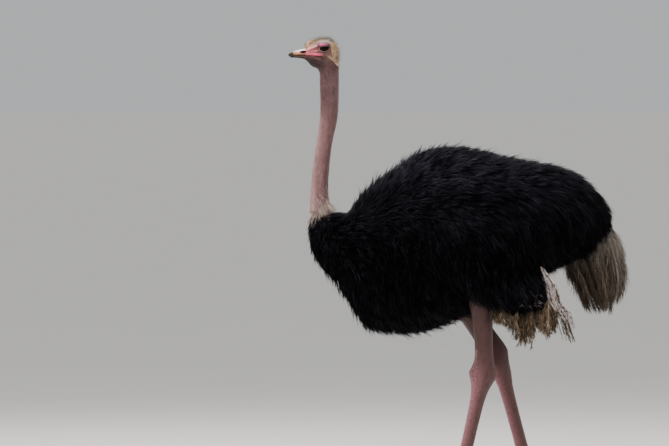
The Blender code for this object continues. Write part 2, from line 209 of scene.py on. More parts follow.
def ball(name, centre, radii, along, segments=32):
    """A closed ellipsoid.  The third radius lies along the given direction."""
    bpy.ops.mesh.primitive_uv_sphere_add(segments=segments, ring_count=segments // 2, radius=1,
                                         location=centre)
    piece = bpy.context.active_object
    piece.name = name
    piece.data.name = name
    piece.rotation_euler = Vector(along).to_track_quat("Z", "Y").to_euler()
    piece.scale = radii
    return settle(piece)


def modified(piece, kind, **settings):
    """Apply one modifier with these settings."""
    modifier = piece.modifiers.new(kind, kind)
    for key, value in settings.items():
        setattr(modifier, key, value)
    only(piece)
    bpy.ops.object.modifier_apply(modifier=modifier.name)
    return piece


def evened(piece, voxel, smoothing):
    """One even closed surface over all that the piece holds, then smoothed."""
    modified(piece, "REMESH", mode="VOXEL", voxel_size=voxel, use_smooth_shade=True)
    return modified(piece, "SMOOTH", factor=0.5, iterations=smoothing)


def combined(piece, other, operation):
    """Unite another closed piece with this one or cut it out, and remove the other."""
    modified(piece, "BOOLEAN", operation=operation, object=other, solver="EXACT")
    bpy.data.objects.remove(other)
    return piece


def mended(piece):
    """Close any pinhole that a cut left, by joining points that lie together."""
    only(piece)
    bpy.ops.object.mode_set(mode="EDIT")
    bpy.ops.mesh.select_all(action="SELECT")
    bpy.ops.mesh.remove_doubles(threshold=0.000002)
    bpy.ops.mesh.select_all(action="DESELECT")
    bpy.ops.object.mode_set(mode="OBJECT")


def refined(piece, chosen):
    """Subdivide once the faces whose middles the test picks."""
    centres = read(piece.data.polygons, "center")
    only(piece)
    bpy.ops.object.mode_set(mode="EDIT")
    bpy.ops.mesh.select_mode(type="FACE")
    bpy.ops.mesh.select_all(action="DESELECT")
    bpy.ops.object.mode_set(mode="OBJECT")
    piece.data.polygons.foreach_set("select", chosen(centres))
    bpy.ops.object.mode_set(mode="EDIT")
    bpy.ops.mesh.subdivide(number_cuts=1, smoothness=0.0)
    bpy.ops.object.mode_set(mode="OBJECT")
    return piece


def relaxed(piece, weights, iterations):
    """Smooth a piece where the weights say, a little each time."""
    group = piece.vertex_groups.new(name="soft")
    for number in np.nonzero(weights > 0.01)[0]:
        group.add([int(number)], float(weights[number]), "REPLACE")
    modified(piece, "SMOOTH", factor=0.5, iterations=iterations, vertex_group="soft")
    piece.vertex_groups.clear()
    return piece


def done(piece, material, slot, *replaced):
    """Finish a piece: material, body and the CAD nodes that it stands for; slot is not used."""
    piece.data.materials.clear()
    piece.data.materials.append(material)
    only(piece)
    bpy.ops.object.shade_smooth()
    piece.select_set(False)
    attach(piece, "root")
    if replaced:
        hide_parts(*replaced)
    return piece


# --- shader building
class Term:
    """A value in a material.  Arithmetic on it adds Math nodes."""

    def __init__(self, shader, socket):
        self.shader = shader
        self.socket = socket

    def math(self, operation, first, second):
        """A Math node's result."""
        return self.shader.node("ShaderNodeMath", {0: first, 1: second}, operation=operation)

    def __add__(self, other):
        return self.math("ADD", self, other)

    def __sub__(self, other):
        return self.math("SUBTRACT", self, other)

    def __mul__(self, other):
        return self.math("MULTIPLY", self, other)

    def __rsub__(self, other):
        return self.math("SUBTRACT", other, self)

    __radd__ = __add__
    __rmul__ = __mul__

    def above(self, low, high):
        """0 at low, 1 at high, smooth between."""
        return self.shader.node("ShaderNodeMapRange",
                                {"Value": self, "From Min": low, "From Max": high},
                                interpolation_type="SMOOTHSTEP")


class Shader:
    """One material under construction."""

    def __init__(self, name, **constants):
        self.material = bpy.data.materials.new(name)
        self.material.use_nodes = True
        self.tree = self.material.node_tree
        self.surface = self.tree.nodes["Principled BSDF"]
        for socket, value in constants.items():
            self.surface.inputs[socket.replace("_", " ")].default_value = value

    def node(self, kind, values, out=0, stops=None, **settings):
        """Add a node: its settings first, then the values or links of its sockets."""
        made = self.tree.nodes.new(kind)
        for key, value in settings.items():
            setattr(made, key, value)
        if stops:
            ramp = made.color_ramp
            while len(ramp.elements) < len(stops):
                ramp.elements.new(0.5)
            for element, (place, colour) in zip(ramp.elements, stops):
                element.position = place
                element.color = (*colour, 1)
        for key, value in values.items():
            self.feed(made.inputs[key], value)
        return Term(self, made.outputs[out])

    def feed(self, socket, value):
        """Link or set one socket."""
        if isinstance(value, Term):
            self.tree.links.new(value.socket, socket)
        elif socket.type == "RGBA":
            socket.default_value = (*value, 1)
        else:
            socket.default_value = value

    def place(self, scale=(1, 1, 1)):
        """Object coordinates, each axis scaled."""
        place = self.node("ShaderNodeTexCoord", {}, out="Object")
        return self.node("ShaderNodeMapping", {"Vector": place, "Scale": scale})

    def axis(self, name):
        """One coordinate of the place."""
        return self.node("ShaderNodeSeparateXYZ", {0: self.place()}, out=name)

    def noise(self, scale, detail, stretch=(1, 1, 1)):
        """Noise from 0 to 1 on the place."""
        return self.node("ShaderNodeTexNoise",
                         {"Vector": self.place(stretch), "Scale": scale, "Detail": detail,
                          "Roughness": 0.55})

    def cells(self, scale, stretch):
        """Distance to the edges of small cells: 0 at an edge."""
        return self.node("ShaderNodeTexVoronoi",
                         {"Vector": self.place(stretch), "Scale": scale},
                         out="Distance", feature="DISTANCE_TO_EDGE")

    def attribute(self, name, out="Fac"):
        """A number or colour that the mesh carries."""
        return self.node("ShaderNodeAttribute", {}, out=out, attribute_name=name)

    def mix(self, factor, first, second, blend="MIX"):
        """First colour at 0, second at 1."""
        return self.node("ShaderNodeMix", {0: factor, 6: first, 7: second}, out=2,
                         data_type="RGBA", blend_type=blend)

    def tinted(self, colour, tone):
        """A colour multiplied by a tone."""
        return self.mix(1.0, colour, tone, "MULTIPLY")

    def finish(self, colour, roughness=None, bump=None, depth=0.001, strength=1.0):
        """Feed the surface and give the material back."""
        self.feed(self.surface.inputs["Base Color"], colour)
        if roughness is not None:
            self.feed(self.surface.inputs["Roughness"], roughness)
        if bump is not None:
            normal = self.node("ShaderNodeBump", {"Height": bump, "Distance": depth,
                                                  "Strength": strength})
            self.feed(self.surface.inputs["Normal"], normal)
        return self.material


def skin_finish():
    """Bare skin: painted colour, broken by fine mottling, with pores and creases."""
    shader = Shader("skin", Specular_IOR_Level=0.35)
    paint = shader.attribute("paint", "Color")
    scaly = shader.attribute("scaly")
    mottle = shader.noise(55, 5, (1, 1, 0.45))
    streak = shader.noise(260, 3, (1, 1, 0.12))
    darker = shader.tinted(paint, (0.5, 0.44, 0.44))
    colour = shader.mix(mottle.above(0.48, 0.74) * 0.55, paint, darker)
    lighter = shader.tinted(paint, (1.28, 1.22, 1.16))
    colour = shader.mix(streak.above(0.52, 0.72) * 0.4, colour, lighter)
    cell = shader.cells(125, (1, 1, 0.8))
    edge = 1 - cell.above(0.0, 0.1)
    colour = shader.mix(edge * scaly * 0.75, colour, shader.tinted(paint, (0.45, 0.36, 0.36)))
    pores = shader.noise(900, 2)
    folds = shader.noise(210, 4, (1, 1, 2.6))
    height = (folds * 0.6 + pores * 0.25) * (1 - scaly) + cell.above(0.0, 0.22) * scaly
    rough = mottle * 0.18 + 0.42
    return shader.finish(colour, rough, height, 0.0009, 0.7)


def feather_finish(name, root, tip, sheen_tone, variation, level=0.3):
    """Barbs of one plumage: root to tip gradient, with each tuft a little different and a painted
    sheen mixed in by tone.
    """
    shader = Shader(name, Specular_IOR_Level=level)
    patch = shader.noise(7, 3)
    colour = shader.mix(shader.attribute("along").above(0.1, 0.95), root, tip)
    amount = shader.attribute("tone") * (patch.above(0.3, 0.75) * 0.4 + 0.6) * variation
    colour = shader.mix(amount, colour, sheen_tone)
    grain = shader.noise(420, 2, (1, 0.35, 0.35))
    colour = shader.mix(grain.above(0.4, 0.8) * 0.35, colour,
                        shader.tinted(colour, (0.5, 0.5, 0.5)))
    return shader.finish(colour, grain * 0.2 + 0.4, grain, 0.0003, 0.35)


def down_finish(name):
    """Down and bristles that carry their own colour, darker at the root."""
    shader = Shader(name, Specular_IOR_Level=0.2)
    paint = shader.attribute("paint", "Color")
    grain = shader.noise(700, 2)
    root = shader.tinted(paint, (0.84, 0.78, 0.74))
    colour = shader.mix(shader.attribute("along").above(0.0, 0.5), root, paint)
    pale = shader.mix(0.5, paint, (0.95, 0.9, 0.8))
    colour = shader.mix(shader.attribute("tone") * 0.45, colour, pale)
    return shader.finish(colour, grain * 0.2 + 0.55, grain, 0.0002, 0.3)


def horn_finish(name, gloss, fibre):
    """Horn: painted colour with fine growth fibres and scuffs."""
    shader = Shader(name, Specular_IOR_Level=0.32)
    paint = shader.attribute("paint", "Color")
    fibres = shader.noise(420, 4, fibre)
    scuffs = shader.noise(90, 5)
    dark = shader.tinted(paint, (0.55, 0.5, 0.48))
    colour = shader.mix(fibres.above(0.45, 0.75) * 0.5, paint, dark)
    pale = shader.mix(0.35, paint, (0.75, 0.66, 0.58))
    lit = shader.attribute("paint").above(0.01, 0.16)       # the pale parts
    colour = shader.mix(scuffs.above(0.58, 0.78) * lit * 0.5, colour, pale)
    rough = scuffs * 0.3 + (1 - lit) * 0.4 + (gloss - 0.12)
    return shader.finish(colour, rough, fibres, 0.0004, 0.45)


def eye_finish():
    """A wet dark eye: brown iris with fine spokes round a black pupil."""
    shader = Shader("eye", Specular_IOR_Level=0.1, Roughness=0.05)
    ring = shader.attribute("ring")
    spokes = shader.noise(700, 3)
    iris = shader.mix(spokes.above(0.35, 0.7), (0.006, 0.002, 0.0015), (0.022, 0.007, 0.0035))
    iris = shader.mix(ring.above(0.78, 1.0), iris, (0.008, 0.005, 0.004))
    colour = shader.mix(ring.above(0.44, 0.52), (0.0015, 0.0012, 0.0012), iris)
    white = shader.mix(spokes, (0.016, 0.008, 0.007), (0.024, 0.013, 0.011))
    return shader.finish(shader.mix(ring.above(1.05, 1.2), colour, white))


# --- figures from the frame
EYE_LOW, EYE_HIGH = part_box("eye_left")
EYE = (EYE_LOW + EYE_HIGH) / 2
EYE_RADII = (EYE_HIGH - EYE_LOW) / 2
BILL_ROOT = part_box("bill_upper")[1].y
MOUTH_Z = (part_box("bill_upper")[0].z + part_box("bill_lower")[1].z) / 2
LID_THICKNESS = 0.0022
LID_HALF = (0.0202, 0.0092, 0.0112)     # half-length, height above and depth below
LID_POWER = (3.0, 1.8)                  # flat above the middle, round below it
LID_TILT = 0.07                         # the outer corner sits higher
LID_MIDDLE = EYE.z - 0.0005
GAPE = ((-0.672, MOUTH_Z), (-0.64, MOUTH_Z), (-0.612, MOUTH_Z - 0.001),
        (-0.588, MOUTH_Z - 0.0035))
UPPER_BAND = ((-0.66, 1.95), (-0.648, 1.956), (-0.636, 1.962), (-0.622, 1.969),
              (-0.601, 1.9755))


def lid_reach(points):
    """Distance from the eye's middle as a share of the lids' opening, which is flat on top."""
    forward = np.abs(points[:, 1] - EYE.y) / LID_HALF[0]
    rise = points[:, 2] - LID_MIDDLE - (points[:, 1] - EYE.y) * LID_TILT
    above, below = ((forward ** power + np.abs(rise / half) ** power) ** (1 / power)
                    for power, half in zip(LID_POWER, LID_HALF[1:]))
    return np.where(rise > 0, above, below)


def lid_edge(angle, wider=1.0):
    """Places on the edge of the lids' opening at angles round the eye's middle."""
    flat, steep = np.cos(angle), np.sin(angle)
    power = np.where(steep > 0, *LID_POWER)
    reach = wider * (np.abs(flat) ** power + np.abs(steep) ** power) ** (-1 / power)
    y = EYE.y + flat * reach * LID_HALF[0]
    height = np.where(steep > 0, *LID_HALF[1:])
    return y, LID_MIDDLE + steep * reach * height + (y - EYE.y) * LID_TILT


def leg_line(side):
    """Places down one leg's middle: thigh, shin, ankle and toe joint."""
    places = []
    for node, share, extra in (("shank", 0.72, 0), ("shank", 0, 0.05), ("tarsus", 1, -0.05),
                               ("tarsus", 0, 0.04)):
        low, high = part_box(f"{node}_{side}")
        height = low.z + (high.z - low.z) * share + extra
        points = read_points(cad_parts[f"{node}_{side}"].data)
        near = points[np.abs(points[:, 2] - height) < 0.028]
        places.append((near.min(0) + near.max(0)) / 2)
    return places


# --- camera, floor and light
def build_stage():
    """A plain floor, soft light from above and the camera at the bird's left side."""
    bpy.ops.mesh.primitive_grid_add(x_subdivisions=8, y_subdivisions=8, size=4000,
                                    location=(0, 0, 0))
    floor = settle(bpy.context.active_object)
    floor.name = "floor"
    shader = Shader("floor_paper", Roughness=0.9, Specular_IOR_Level=0.1)
    tone = shader.noise(1.4, 3)
    floor.data.materials.append(
        shader.finish(shader.mix(tone, (0.66, 0.65, 0.63), (0.7, 0.69, 0.67))))
    build_sky()
    for name, place, aim, size, power, colour in (
            ("key", (2.9, -2.6, 5.6), (0, -0.2, 1.3), 2.4, 300, (1.0, 0.96, 0.9)),
            ("rim", (-3.2, -2.4, 4.4), (0, -0.4, 1.5), 1.8, 230, (1.0, 0.97, 0.93)),
            ("back", (-2.4, 3.4, 4.2), (0, 0.3, 1.1), 2.2, 150, (1.0, 0.97, 0.94))):
        bpy.ops.object.light_add(type="AREA", location=place)
        lamp = bpy.context.active_object
        lamp.name = name
        lamp.data.size = size
        lamp.data.energy = power
        lamp.data.color = colour
        lamp.rotation_euler = (Vector(aim) - Vector(place)).to_track_quat("-Z", "Y").to_euler()
    bpy.ops.object.camera_add(location=(19.98, -0.532, 1.706))
    camera = bpy.context.active_object
    aim = Vector((0, -0.532, 1.212)) - camera.location
    camera.rotation_euler = aim.to_track_quat("-Z", "Y").to_euler()
    camera.data.lens = 250
    camera.data.sensor_width = 36
    camera.data.clip_end = 4000
    bpy.context.scene.camera = camera


def build_sky():
    """A pale studio dome that is brighter overhead than at the horizon."""
    world = bpy.data.worlds.new("studio")
    world.use_nodes = True
    tree = world.node_tree
    place, split, ramp = (tree.nodes.new(f"ShaderNode{kind}")
                          for kind in ("TexCoord", "SeparateXYZ", "ValToRGB"))
    for element, height, colour in zip(ramp.color_ramp.elements, (0.04, 0.75),
                                       ((0.6, 0.615, 0.625, 1), (1.0, 1.0, 1.0, 1))):
        element.position = height
        element.color = colour
    tree.links.new(place.outputs["Generated"], split.inputs[0])
    tree.links.new(split.outputs["Z"], ramp.inputs[0])
    tree.links.new(ramp.outputs[0], tree.nodes["Background"].inputs[0])
    tree.nodes["Background"].inputs[1].default_value = 0.85
    bpy.context.scene.world = world


# --- head
def fossa_streaks(points):
    """Fine ridges that fan out from the nostril over the hollow before the eye, -1 to 1."""
    side = eased(np.abs(points[:, 0]), 0.01, 0.02)
    angle = np.arctan2(points[:, 2] - 1.9425, points[:, 1] + 0.664)
    hollow = crease(points, ((-0.642, 1.949), (-0.604, 1.957)), 0.0085)
    return side * hollow * np.sin(angle * 46 + 0.8 * np.sin(angle * 19))


HEAD_LINES = (          # height, path in the side view, width
    (0.0036, ((-0.606, 1.972), (-0.592, 1.9775), (-0.574, 1.979), (-0.555, 1.9765)), 0.005),
    (-0.003, ((-0.64, 1.951), (-0.62, 1.954), (-0.603, 1.958)), 0.007),
    (0.0015, UPPER_BAND, 0.0034),
    (-0.0026, GAPE, 0.0017), (0.0014, raised(GAPE, 0.005), 0.003),
    (0.0008, raised(GAPE, -0.0045), 0.0028),
    (-0.0018, ((-0.598, 1.921), (-0.57, 1.916)), 0.008),
    (0.0012, ((-0.628, 1.914), (-0.6, 1.903), (-0.57, 1.896)), 0.005),
    (0.0016, ((-0.566, 1.93), (-0.548, 1.921), (-0.537, 1.914)), 0.005),
    (0.001, ((-0.543, 1.912), (-0.531, 1.911)), 0.003))


def carve_head(points):
    """How far each point of the head moves along its normal, as a carver would add relief."""
    x, y, z = folded(points).T
    # brow ridge, hollow before the eye, gape between two lips, cheek, jaw line and ear
    side = eased(x, 0.01, 0.024)
    move = sum(height * side * crease(points, path, width) for height, path, width in HEAD_LINES)
    move -= 0.004 * side * knoll(points, (0.037, -0.5365, 1.904), (0.03, 0.0045, 0.0062))
    move += 0.0005 * fossa_streaks(points)
    # forehead drawn back, and skin sunk under the crown's fuzz
    move -= 0.003 * knoll(points, (0, -0.645, 1.994), (0.06, 0.017, 0.013))
    move -= 0.006 * eased(z - crown_edge(y), -0.004, 0.012) * eased(z, 1.872, 1.9) * (
        1 - 0.8 * eased(-y, 0.615, 0.64))
    # lids: a thick rim round the opening and folds outside it
    reach, above = lid_reach(points), eased(z, EYE.z - 0.004, EYE.z + 0.008)
    for height, middle, width, part in ((0.0011, 1.1, 0.13, 1), (-0.001, 1.44, 0.1, 1),
                                        (-0.0008, 1.72, 0.1, above),
                                        (-0.0006, 1.8, 0.08, 1 - above)):
        move += height * eased(x, 0.024, 0.032) * part * bell(reach, middle, width)
    # fine folds all over the face, longer ones down the throat
    face, throat = eased(z, 1.86, 1.9), 1 - eased(z, 1.9, 1.925)
    move += 0.00055 * face * ripple(points, 130, (1, 0.45, 1.5))
    move -= 0.0006 * face * np.clip(1 - 5 * np.abs(ripple(points, 100, (1, 0.4, 1.3))), 0, 1)
    move += 0.00028 * face * ripple(points, 400)
    move += 0.0006 * throat * ripple(points, 85, (1, 1, 0.3))
    move += 0.0054 * knoll(points, (0, -0.626, 1.892), (0.024, 0.026, 0.016))
    # slack folds down the neck
    neck = 1 - eased(z, 1.8, 1.86)
    move += 0.0011 * neck * ripple(points, 26, (1, 1, 0.22))
    return move + 0.0005 * neck * ripple(points, 95, (1, 1, 0.9))


def eye_ball(name, side, wider, segments=32):
    """An ellipsoid round one eye's middle, wider than the eyeball by so much."""
    radii = [radius + wider for radius in (EYE_RADII.y, EYE_RADII.z, EYE_RADII.x)]
    return ball(name, (side * EYE.x, EYE.y, EYE.z), radii, (1, 0, 0), segments)


def almond(side):
    """A closed cutter in the shape of the lids' opening."""
    bpy.ops.mesh.primitive_cylinder_add(vertices=72, radius=1, depth=0.05,
                                        location=(side * 0.058, 0, 0),
                                        rotation=(0, math.pi / 2, 0))
    piece = settle(bpy.context.active_object)
    points = read_points(piece.data)
    points[:, 1], points[:, 2] = lid_edge(np.arctan2(points[:, 2], points[:, 1]))
    write_points(piece.data, points)
    return piece


def nostril(side):
    """A cutter for one nostril, a long slot that rises towards the face."""
    return ball("nostril", (side * 0.0268, -0.6668, 1.9474), (0.0074, 0.0058, 0.0152),
                (0, -0.97, -0.2))


def by_eyes_or_gape(centres):
    """True close to an eye or to the line of the mouth."""
    offset = folded(centres) - np.array((0.04, EYE.y, EYE.z))
    return (np.linalg.norm(offset, axis=1) < 0.031) | (
        (np.abs(centres[:, 2] - MOUTH_Z) < 0.008) & (centres[:, 1] < -0.58))


def build_head():
    """Head and neck as one surface, with lids, brow, gape and ear carved in."""
    head = copied("skin", "head", *NECK_NODES, swell=0.0005)
    sleeve = copied("sleeve", "bill_upper", "bill_lower", swell=0.0011)
    points = read_points(sleeve.data)
    points[:, 1] = np.maximum(points[:, 1], BILL_ROOT - 0.0065)
    write_points(sleeve.data, points)
    balls = [eye_ball("lid", side, LID_THICKNESS) for _, side in SIDES]
    root = ball("neck_root", (0, -0.572, 1.205), (0.043, 0.05, 0.1), (0, -0.35, 0.94))
    joined(head, sleeve, root, *balls)
    evened(head, 0.0032, 3)
    refined(head, lambda centres: centres[:, 2] > 1.865)
    relaxed(head, eased(read_points(head.data)[:, 2], 1.86, 1.88), 5)

    refined(head, by_eyes_or_gape)
    relaxed(head, knoll(read_points(head.data), (0.04, EYE.y, EYE.z), (0.03, 0.035, 0.035)), 3)
    push(head.data, carve_head(read_points(head.data)))
    for _, side in SIDES:
        for cutter in (almond(side), eye_ball("socket", side, 0.0004, 64), nostril(side)):
            combined(head, cutter, "DIFFERENCE")
    return head


# --- trunk, legs and the one skin
class Ground:
    """A surface that plumage grows over, with a fast lookup of the nearest place."""

    def __init__(self, piece):
        mesh = piece.data
        mesh.calc_loop_triangles()
        self.faces = read(mesh.loop_triangles, "vertices", 3, np.int32)
        self.points = read_points(mesh)
        self.normals = read_normals(mesh)
        self.tree = BVHTree.FromPolygons(self.points.tolist(), self.faces.tolist())

    def nearest(self, places):
        """Nearest places on the surface and its smooth normals there."""
        found = [self.tree.find_nearest(place) for place in places.tolist()]
        spots = np.array([hit[0] for hit in found])
        corners = self.faces[[hit[2] for hit in found]]
        gaps = np.linalg.norm(self.points[corners] - spots[:, None], axis=2) + 1e-5
        weights = (1 / gaps)[..., None]
        return spots, unit((self.normals[corners] * weights).sum(1))

    def thickness(self):
        """How far it is from each point straight through to the other side."""
        found = []
        for point, normal in zip(self.points.tolist(), self.normals.tolist()):
            inward = -Vector(normal)
            hit = self.tree.ray_cast(Vector(point) + inward * 0.002, inward)
            found.append(hit[3] if hit[0] is not None else 0.5)
        return np.array(found)

    def scatter(self, spacing, seed, wanted):
        """Places spread over the surface by area, with normals, as thick as they are wanted."""
        dice = np.random.default_rng(seed)
        corners = self.points[self.faces]
        areas = np.linalg.norm(np.cross(corners[:, 1] - corners[:, 0],
                                        corners[:, 2] - corners[:, 0]), axis=1) / 2
        areas = areas * wanted(corners.mean(1))
        count = int(areas.sum() / spacing ** 2)
        faces = dice.choice(len(areas), count, p=areas / areas.sum())
        shares = dice.dirichlet((1, 1, 1), count)[..., None]
        places = (self.points[self.faces[faces]] * shares).sum(1)
        normals = unit((self.normals[self.faces[faces]] * shares).sum(1))
        return places, normals


def averaged(values, edges, rounds):
    """Point values evened out along a mesh's edges."""
    for _ in range(rounds):
        total, count = values.copy(), np.ones(len(values))
        for here, there in (edges.T, edges.T[::-1]):
            np.add.at(total, here, values[there])
            np.add.at(count, here, 1)
        values = total / count
    return values


def build_form():
    """The outer form of the body plumage, and how deep the skin lies under it."""
    form = copied("form", "trunk", "wing_left", "wing_right", swell=0.001)
    evened(form, 0.014, 7)
    ground = Ground(form)
    y = ground.points[:, 1]
    depth = 0.034 + 0.006 * eased(y, 0.2, 0.6) - 0.014 * eased(-y, 0.48, 0.62)
    depth = np.minimum(depth, ground.thickness() * 0.33)
    return form, ground, averaged(depth, read(form.data.edges, "vertices", 2, np.int32), 8)


def build_leg(label):
    """One leg and foot as an even surface, with a thigh that reaches into the trunk."""
    leg = copied("leg", *(f"{node}_{label}" for node in LEG_NODES), swell=0.0007)
    upper, lower, _, _ = leg_line(label)
    along = unit(upper - lower)
    joined(leg, ball("thigh", upper + along * 0.085, (0.058, 0.06, 0.15), along))
    evened(leg, 0.0062, 4)
    points = read_points(leg.data)
    points[:, 2] = np.where(points[:, 2] < 0.0035, 0.0002, points[:, 2])
    write_points(leg.data, points)
    return leg


def layered(colour, *glazes):
    """Painted colour with tones laid over it in turn, each where its mask says."""
    for mask, tone in glazes:
        colour = colour + (np.array(tone) - colour) * np.clip(mask, 0, 1)[:, None]
    return colour


FACE_STROKES = (        # strength, path in the side view, width, tone
    (0.7, ((-0.545, 1.962), (-0.54, 1.94)), 0.0115, (0.19, 0.092, 0.08)),
    (0.7, ((-0.562, 1.93), (-0.545, 1.918), (-0.528, 1.91)), 0.0095, (0.34, 0.2, 0.14)),
    # pale streak on the cheek ridge: partly its own paler colour, partly a painted highlight
    (0.7, ((-0.56, 1.928), (-0.548, 1.92), (-0.536, 1.915)), 0.0028, (0.54, 0.35, 0.225)),
    (0.5, ((-0.548, 1.938), (-0.536, 1.93)), 0.0026, (0.52, 0.33, 0.205)),
    # painted shade in the crease behind the jaw and in the ear's hollow
    (0.7, ((-0.56, 1.9205), (-0.548, 1.911), (-0.538, 1.902)), 0.0026, (0.075, 0.04, 0.028)),
    (0.9, ((-0.5385, 1.905), (-0.5375, 1.902)), 0.005, (0.03, 0.013, 0.009)),
    (0.7, ((-0.555, 1.967), (-0.551, 1.948)), 0.0048, (0.11, 0.032, 0.031)),
    (0.9, ((-0.65, 1.9475), (-0.6, 1.9565)), 0.01, (0.3, 0.065, 0.075)),
    (0.8, ((-0.607, 1.9645), (-0.597, 1.9545)), 0.0056, (0.125, 0.052, 0.044)),
    (0.9, ((-0.653, 1.9505), (-0.645, 1.9405)), 0.0066, (0.86, 0.11, 0.19)),
    (1.0, ((-0.599, 1.978), (-0.588, 1.9805), (-0.574, 1.9816)), 0.005, (1.0, 0.13, 0.48)),
    (1.0, ((-0.588, 1.9812), (-0.572, 1.9813), (-0.558, 1.9785)), 0.0045, (0.56, 0.08, 0.29)),
    (1.0, UPPER_BAND, 0.0048, (1.0, 0.34, 0.38)),
    # painted highlight along the upper band's ridge
    (0.6, raised(UPPER_BAND, 0.0028), 0.0021, (1.0, 0.7, 0.7)),
    (1.0, ((-0.662, 1.94), (-0.618, 1.9384), (-0.578, 1.9366)), 0.0037, (1.0, 0.19, 0.29)),
    (0.9, ((-0.654, 1.9352), (-0.615, 1.9336), (-0.578, 1.9318)), 0.0028, (0.7, 0.035, 0.125)),
    # painted shade in the nostril
    (1.0, ((-0.664, 1.9478), (-0.656, 1.9494)), 0.004, (0.012, 0.003, 0.005)),
    (0.6, ((-0.645, 1.922), (-0.615, 1.9165)), 0.0048, (0.13, 0.042, 0.024)),
    (0.5, ((-0.619, 1.9208), (-0.587, 1.9162)), 0.0036, (0.3, 0.165, 0.125)),
    (0.5, ((-0.611, 1.9055), (-0.592, 1.8975)), 0.0038, (0.12, 0.034, 0.032)),
    (0.4, ((-0.608, 1.9125), (-0.58, 1.9075)), 0.003, (0.18, 0.105, 0.085)))


def stroke(points, path, width):
    """A brush stroke's mask in the side view: full in the middle, narrow at both ends."""
    path = np.array(path)
    steps = np.concatenate([[0], np.cumsum(np.linalg.norm(np.diff(path, axis=0), axis=1))])
    count = max(9, int(steps[-1] / width * 3))
    mask = np.zeros(len(points))
    for share in (np.arange(count) + 0.5) / count:
        spot = [np.interp(share * steps[-1], steps, path[:, axis]) for axis in (0, 1)]
        full = math.sin(math.pi * share) ** 0.7
        reach = width * (0.25 + 0.75 * full)
        away = (points[:, 1] - spot[0]) ** 2 + (points[:, 2] - spot[1]) ** 2
        mask = np.maximum(mask, min(1.0, 1.4 * full) * np.exp(-away / reach ** 2))
    return mask


def paint_face(points, colour):
    """Colours of the head: crown, brow, the two pink bands, gape, jaw, ear and lids, with painted
    shade under the jaw and lid, in the ear and nostril, and painted highlights on ridges.
    """
    x, y, z = folded(points).T
    side, head = eased(x, 0.012, 0.024), eased(z, 1.835, 1.9)
    jaw = eased(1.927 - z, 0.0, 0.006) * eased(-y, 0.568, 0.596)
    chin = eased(-y, 0.622, 0.64) * (1 - eased(z, 1.916, 1.926))
    colour = layered(colour, (0.95 * head, (0.074, 0.033, 0.032)),
                     (head * eased(z, 1.912, 1.936), (0.13, 0.058, 0.054)),
                     # painted shade under the head: the jaw and chin near black, over the jaw's own
                     # dark colour
                     (jaw * head, (0.017, 0.007, 0.008)), (head * chin, (0.013, 0.006, 0.006)))
    bent = points + 0.0016 * np.stack([0 * y, ripple(points + 4.4, 95), ripple(points, 95)], axis=1)
    fray = 1 + 0.45 * ripple(points + 2.2, 240)
    for strength, path, width, tone in FACE_STROKES:
        colour = layered(colour, (strength * side * fray * stroke(bent, path, width), tone))
    streaks, reach = fossa_streaks(points), lid_reach(points)
    near_eye, above = eased(x, 0.026, 0.033), eased(z, EYE.z - 0.002, EYE.z + 0.006)
    gape = ((-0.668, MOUTH_Z), (-0.612, MOUTH_Z - 0.001), (-0.582, MOUTH_Z - 0.0035))
    crown = eased(z - crown_edge(y) + 0.003 * ripple(points, 130), -0.005, 0.005)
    colour = layered(
        colour, (0.75 * eased(streaks, 0.1, 0.8), (0.93, 0.18, 0.23)),
        (0.75 * eased(-streaks, 0.1, 0.8), (0.15, 0.035, 0.045)),
        (side * crease(points, gape, 0.0023), (0.11, 0.01, 0.022)),
        (0.85 * near_eye * bell(reach, 1.3, 0.2) * (1 - above), (0.085, 0.034, 0.032)),
        # painted shade under the brow: the upper lid near black
        (0.95 * near_eye * bell(reach, 1.08, 0.14) * above, (0.024, 0.01, 0.012)),
        (0.85 * near_eye * bell(reach, 1.09, 0.075) * (1 - above), (0.4, 0.25, 0.22)),
        (head * crown, crown_paint(points) * 0.85))
    shade = 1 + 0.22 * head * ripple(points, 160) + 0.12 * head * ripple(points, 420)
    return colour * shade[:, None]


def painted(points, tone, *glazes):
    """One tone for each point, with others laid over it."""
    return layered(np.tile(tone, (len(points), 1)), *glazes)


def crown_paint(points):
    """Colours of the fuzz: tan forehead, cream over the eye, brown top and mottled nape."""
    y, z = points[:, 1], points[:, 2]
    top = eased(0.026 - np.abs(points[:, 0]), 0, 0.014) * eased(z, 1.985, 1.998)
    mottle = ripple(points, 75)
    return painted(
        points, (0.8, 0.56, 0.34),
        (0.9 * eased(-y, 0.598, 0.632), (1.0, 0.6, 0.4)),
        (0.8 * crease(points, ((-0.632, 1.974), (-0.604, 1.985)), 0.0055), (1.0, 0.78, 0.64)),
        (crease(points, ((-0.592, 1.9915), (-0.556, 1.993)), 0.011), (1.0, 0.96, 0.86)),
        (0.8 * eased(y, -0.552, -0.536), (0.9, 0.6, 0.4)),
        (0.7 * crease(points, ((-0.53, 1.945), (-0.526, 1.905)), 0.007), (0.88, 0.6, 0.39)),
        (0.85 * top, (0.2, 0.135, 0.095)),
        (0.5 * eased(mottle, 0.15, 0.6) * eased(y, -0.58, -0.53), (0.3, 0.19, 0.125)),
        (0.5 * eased(-mottle, 0.15, 0.6), (1.0, 0.82, 0.6)))


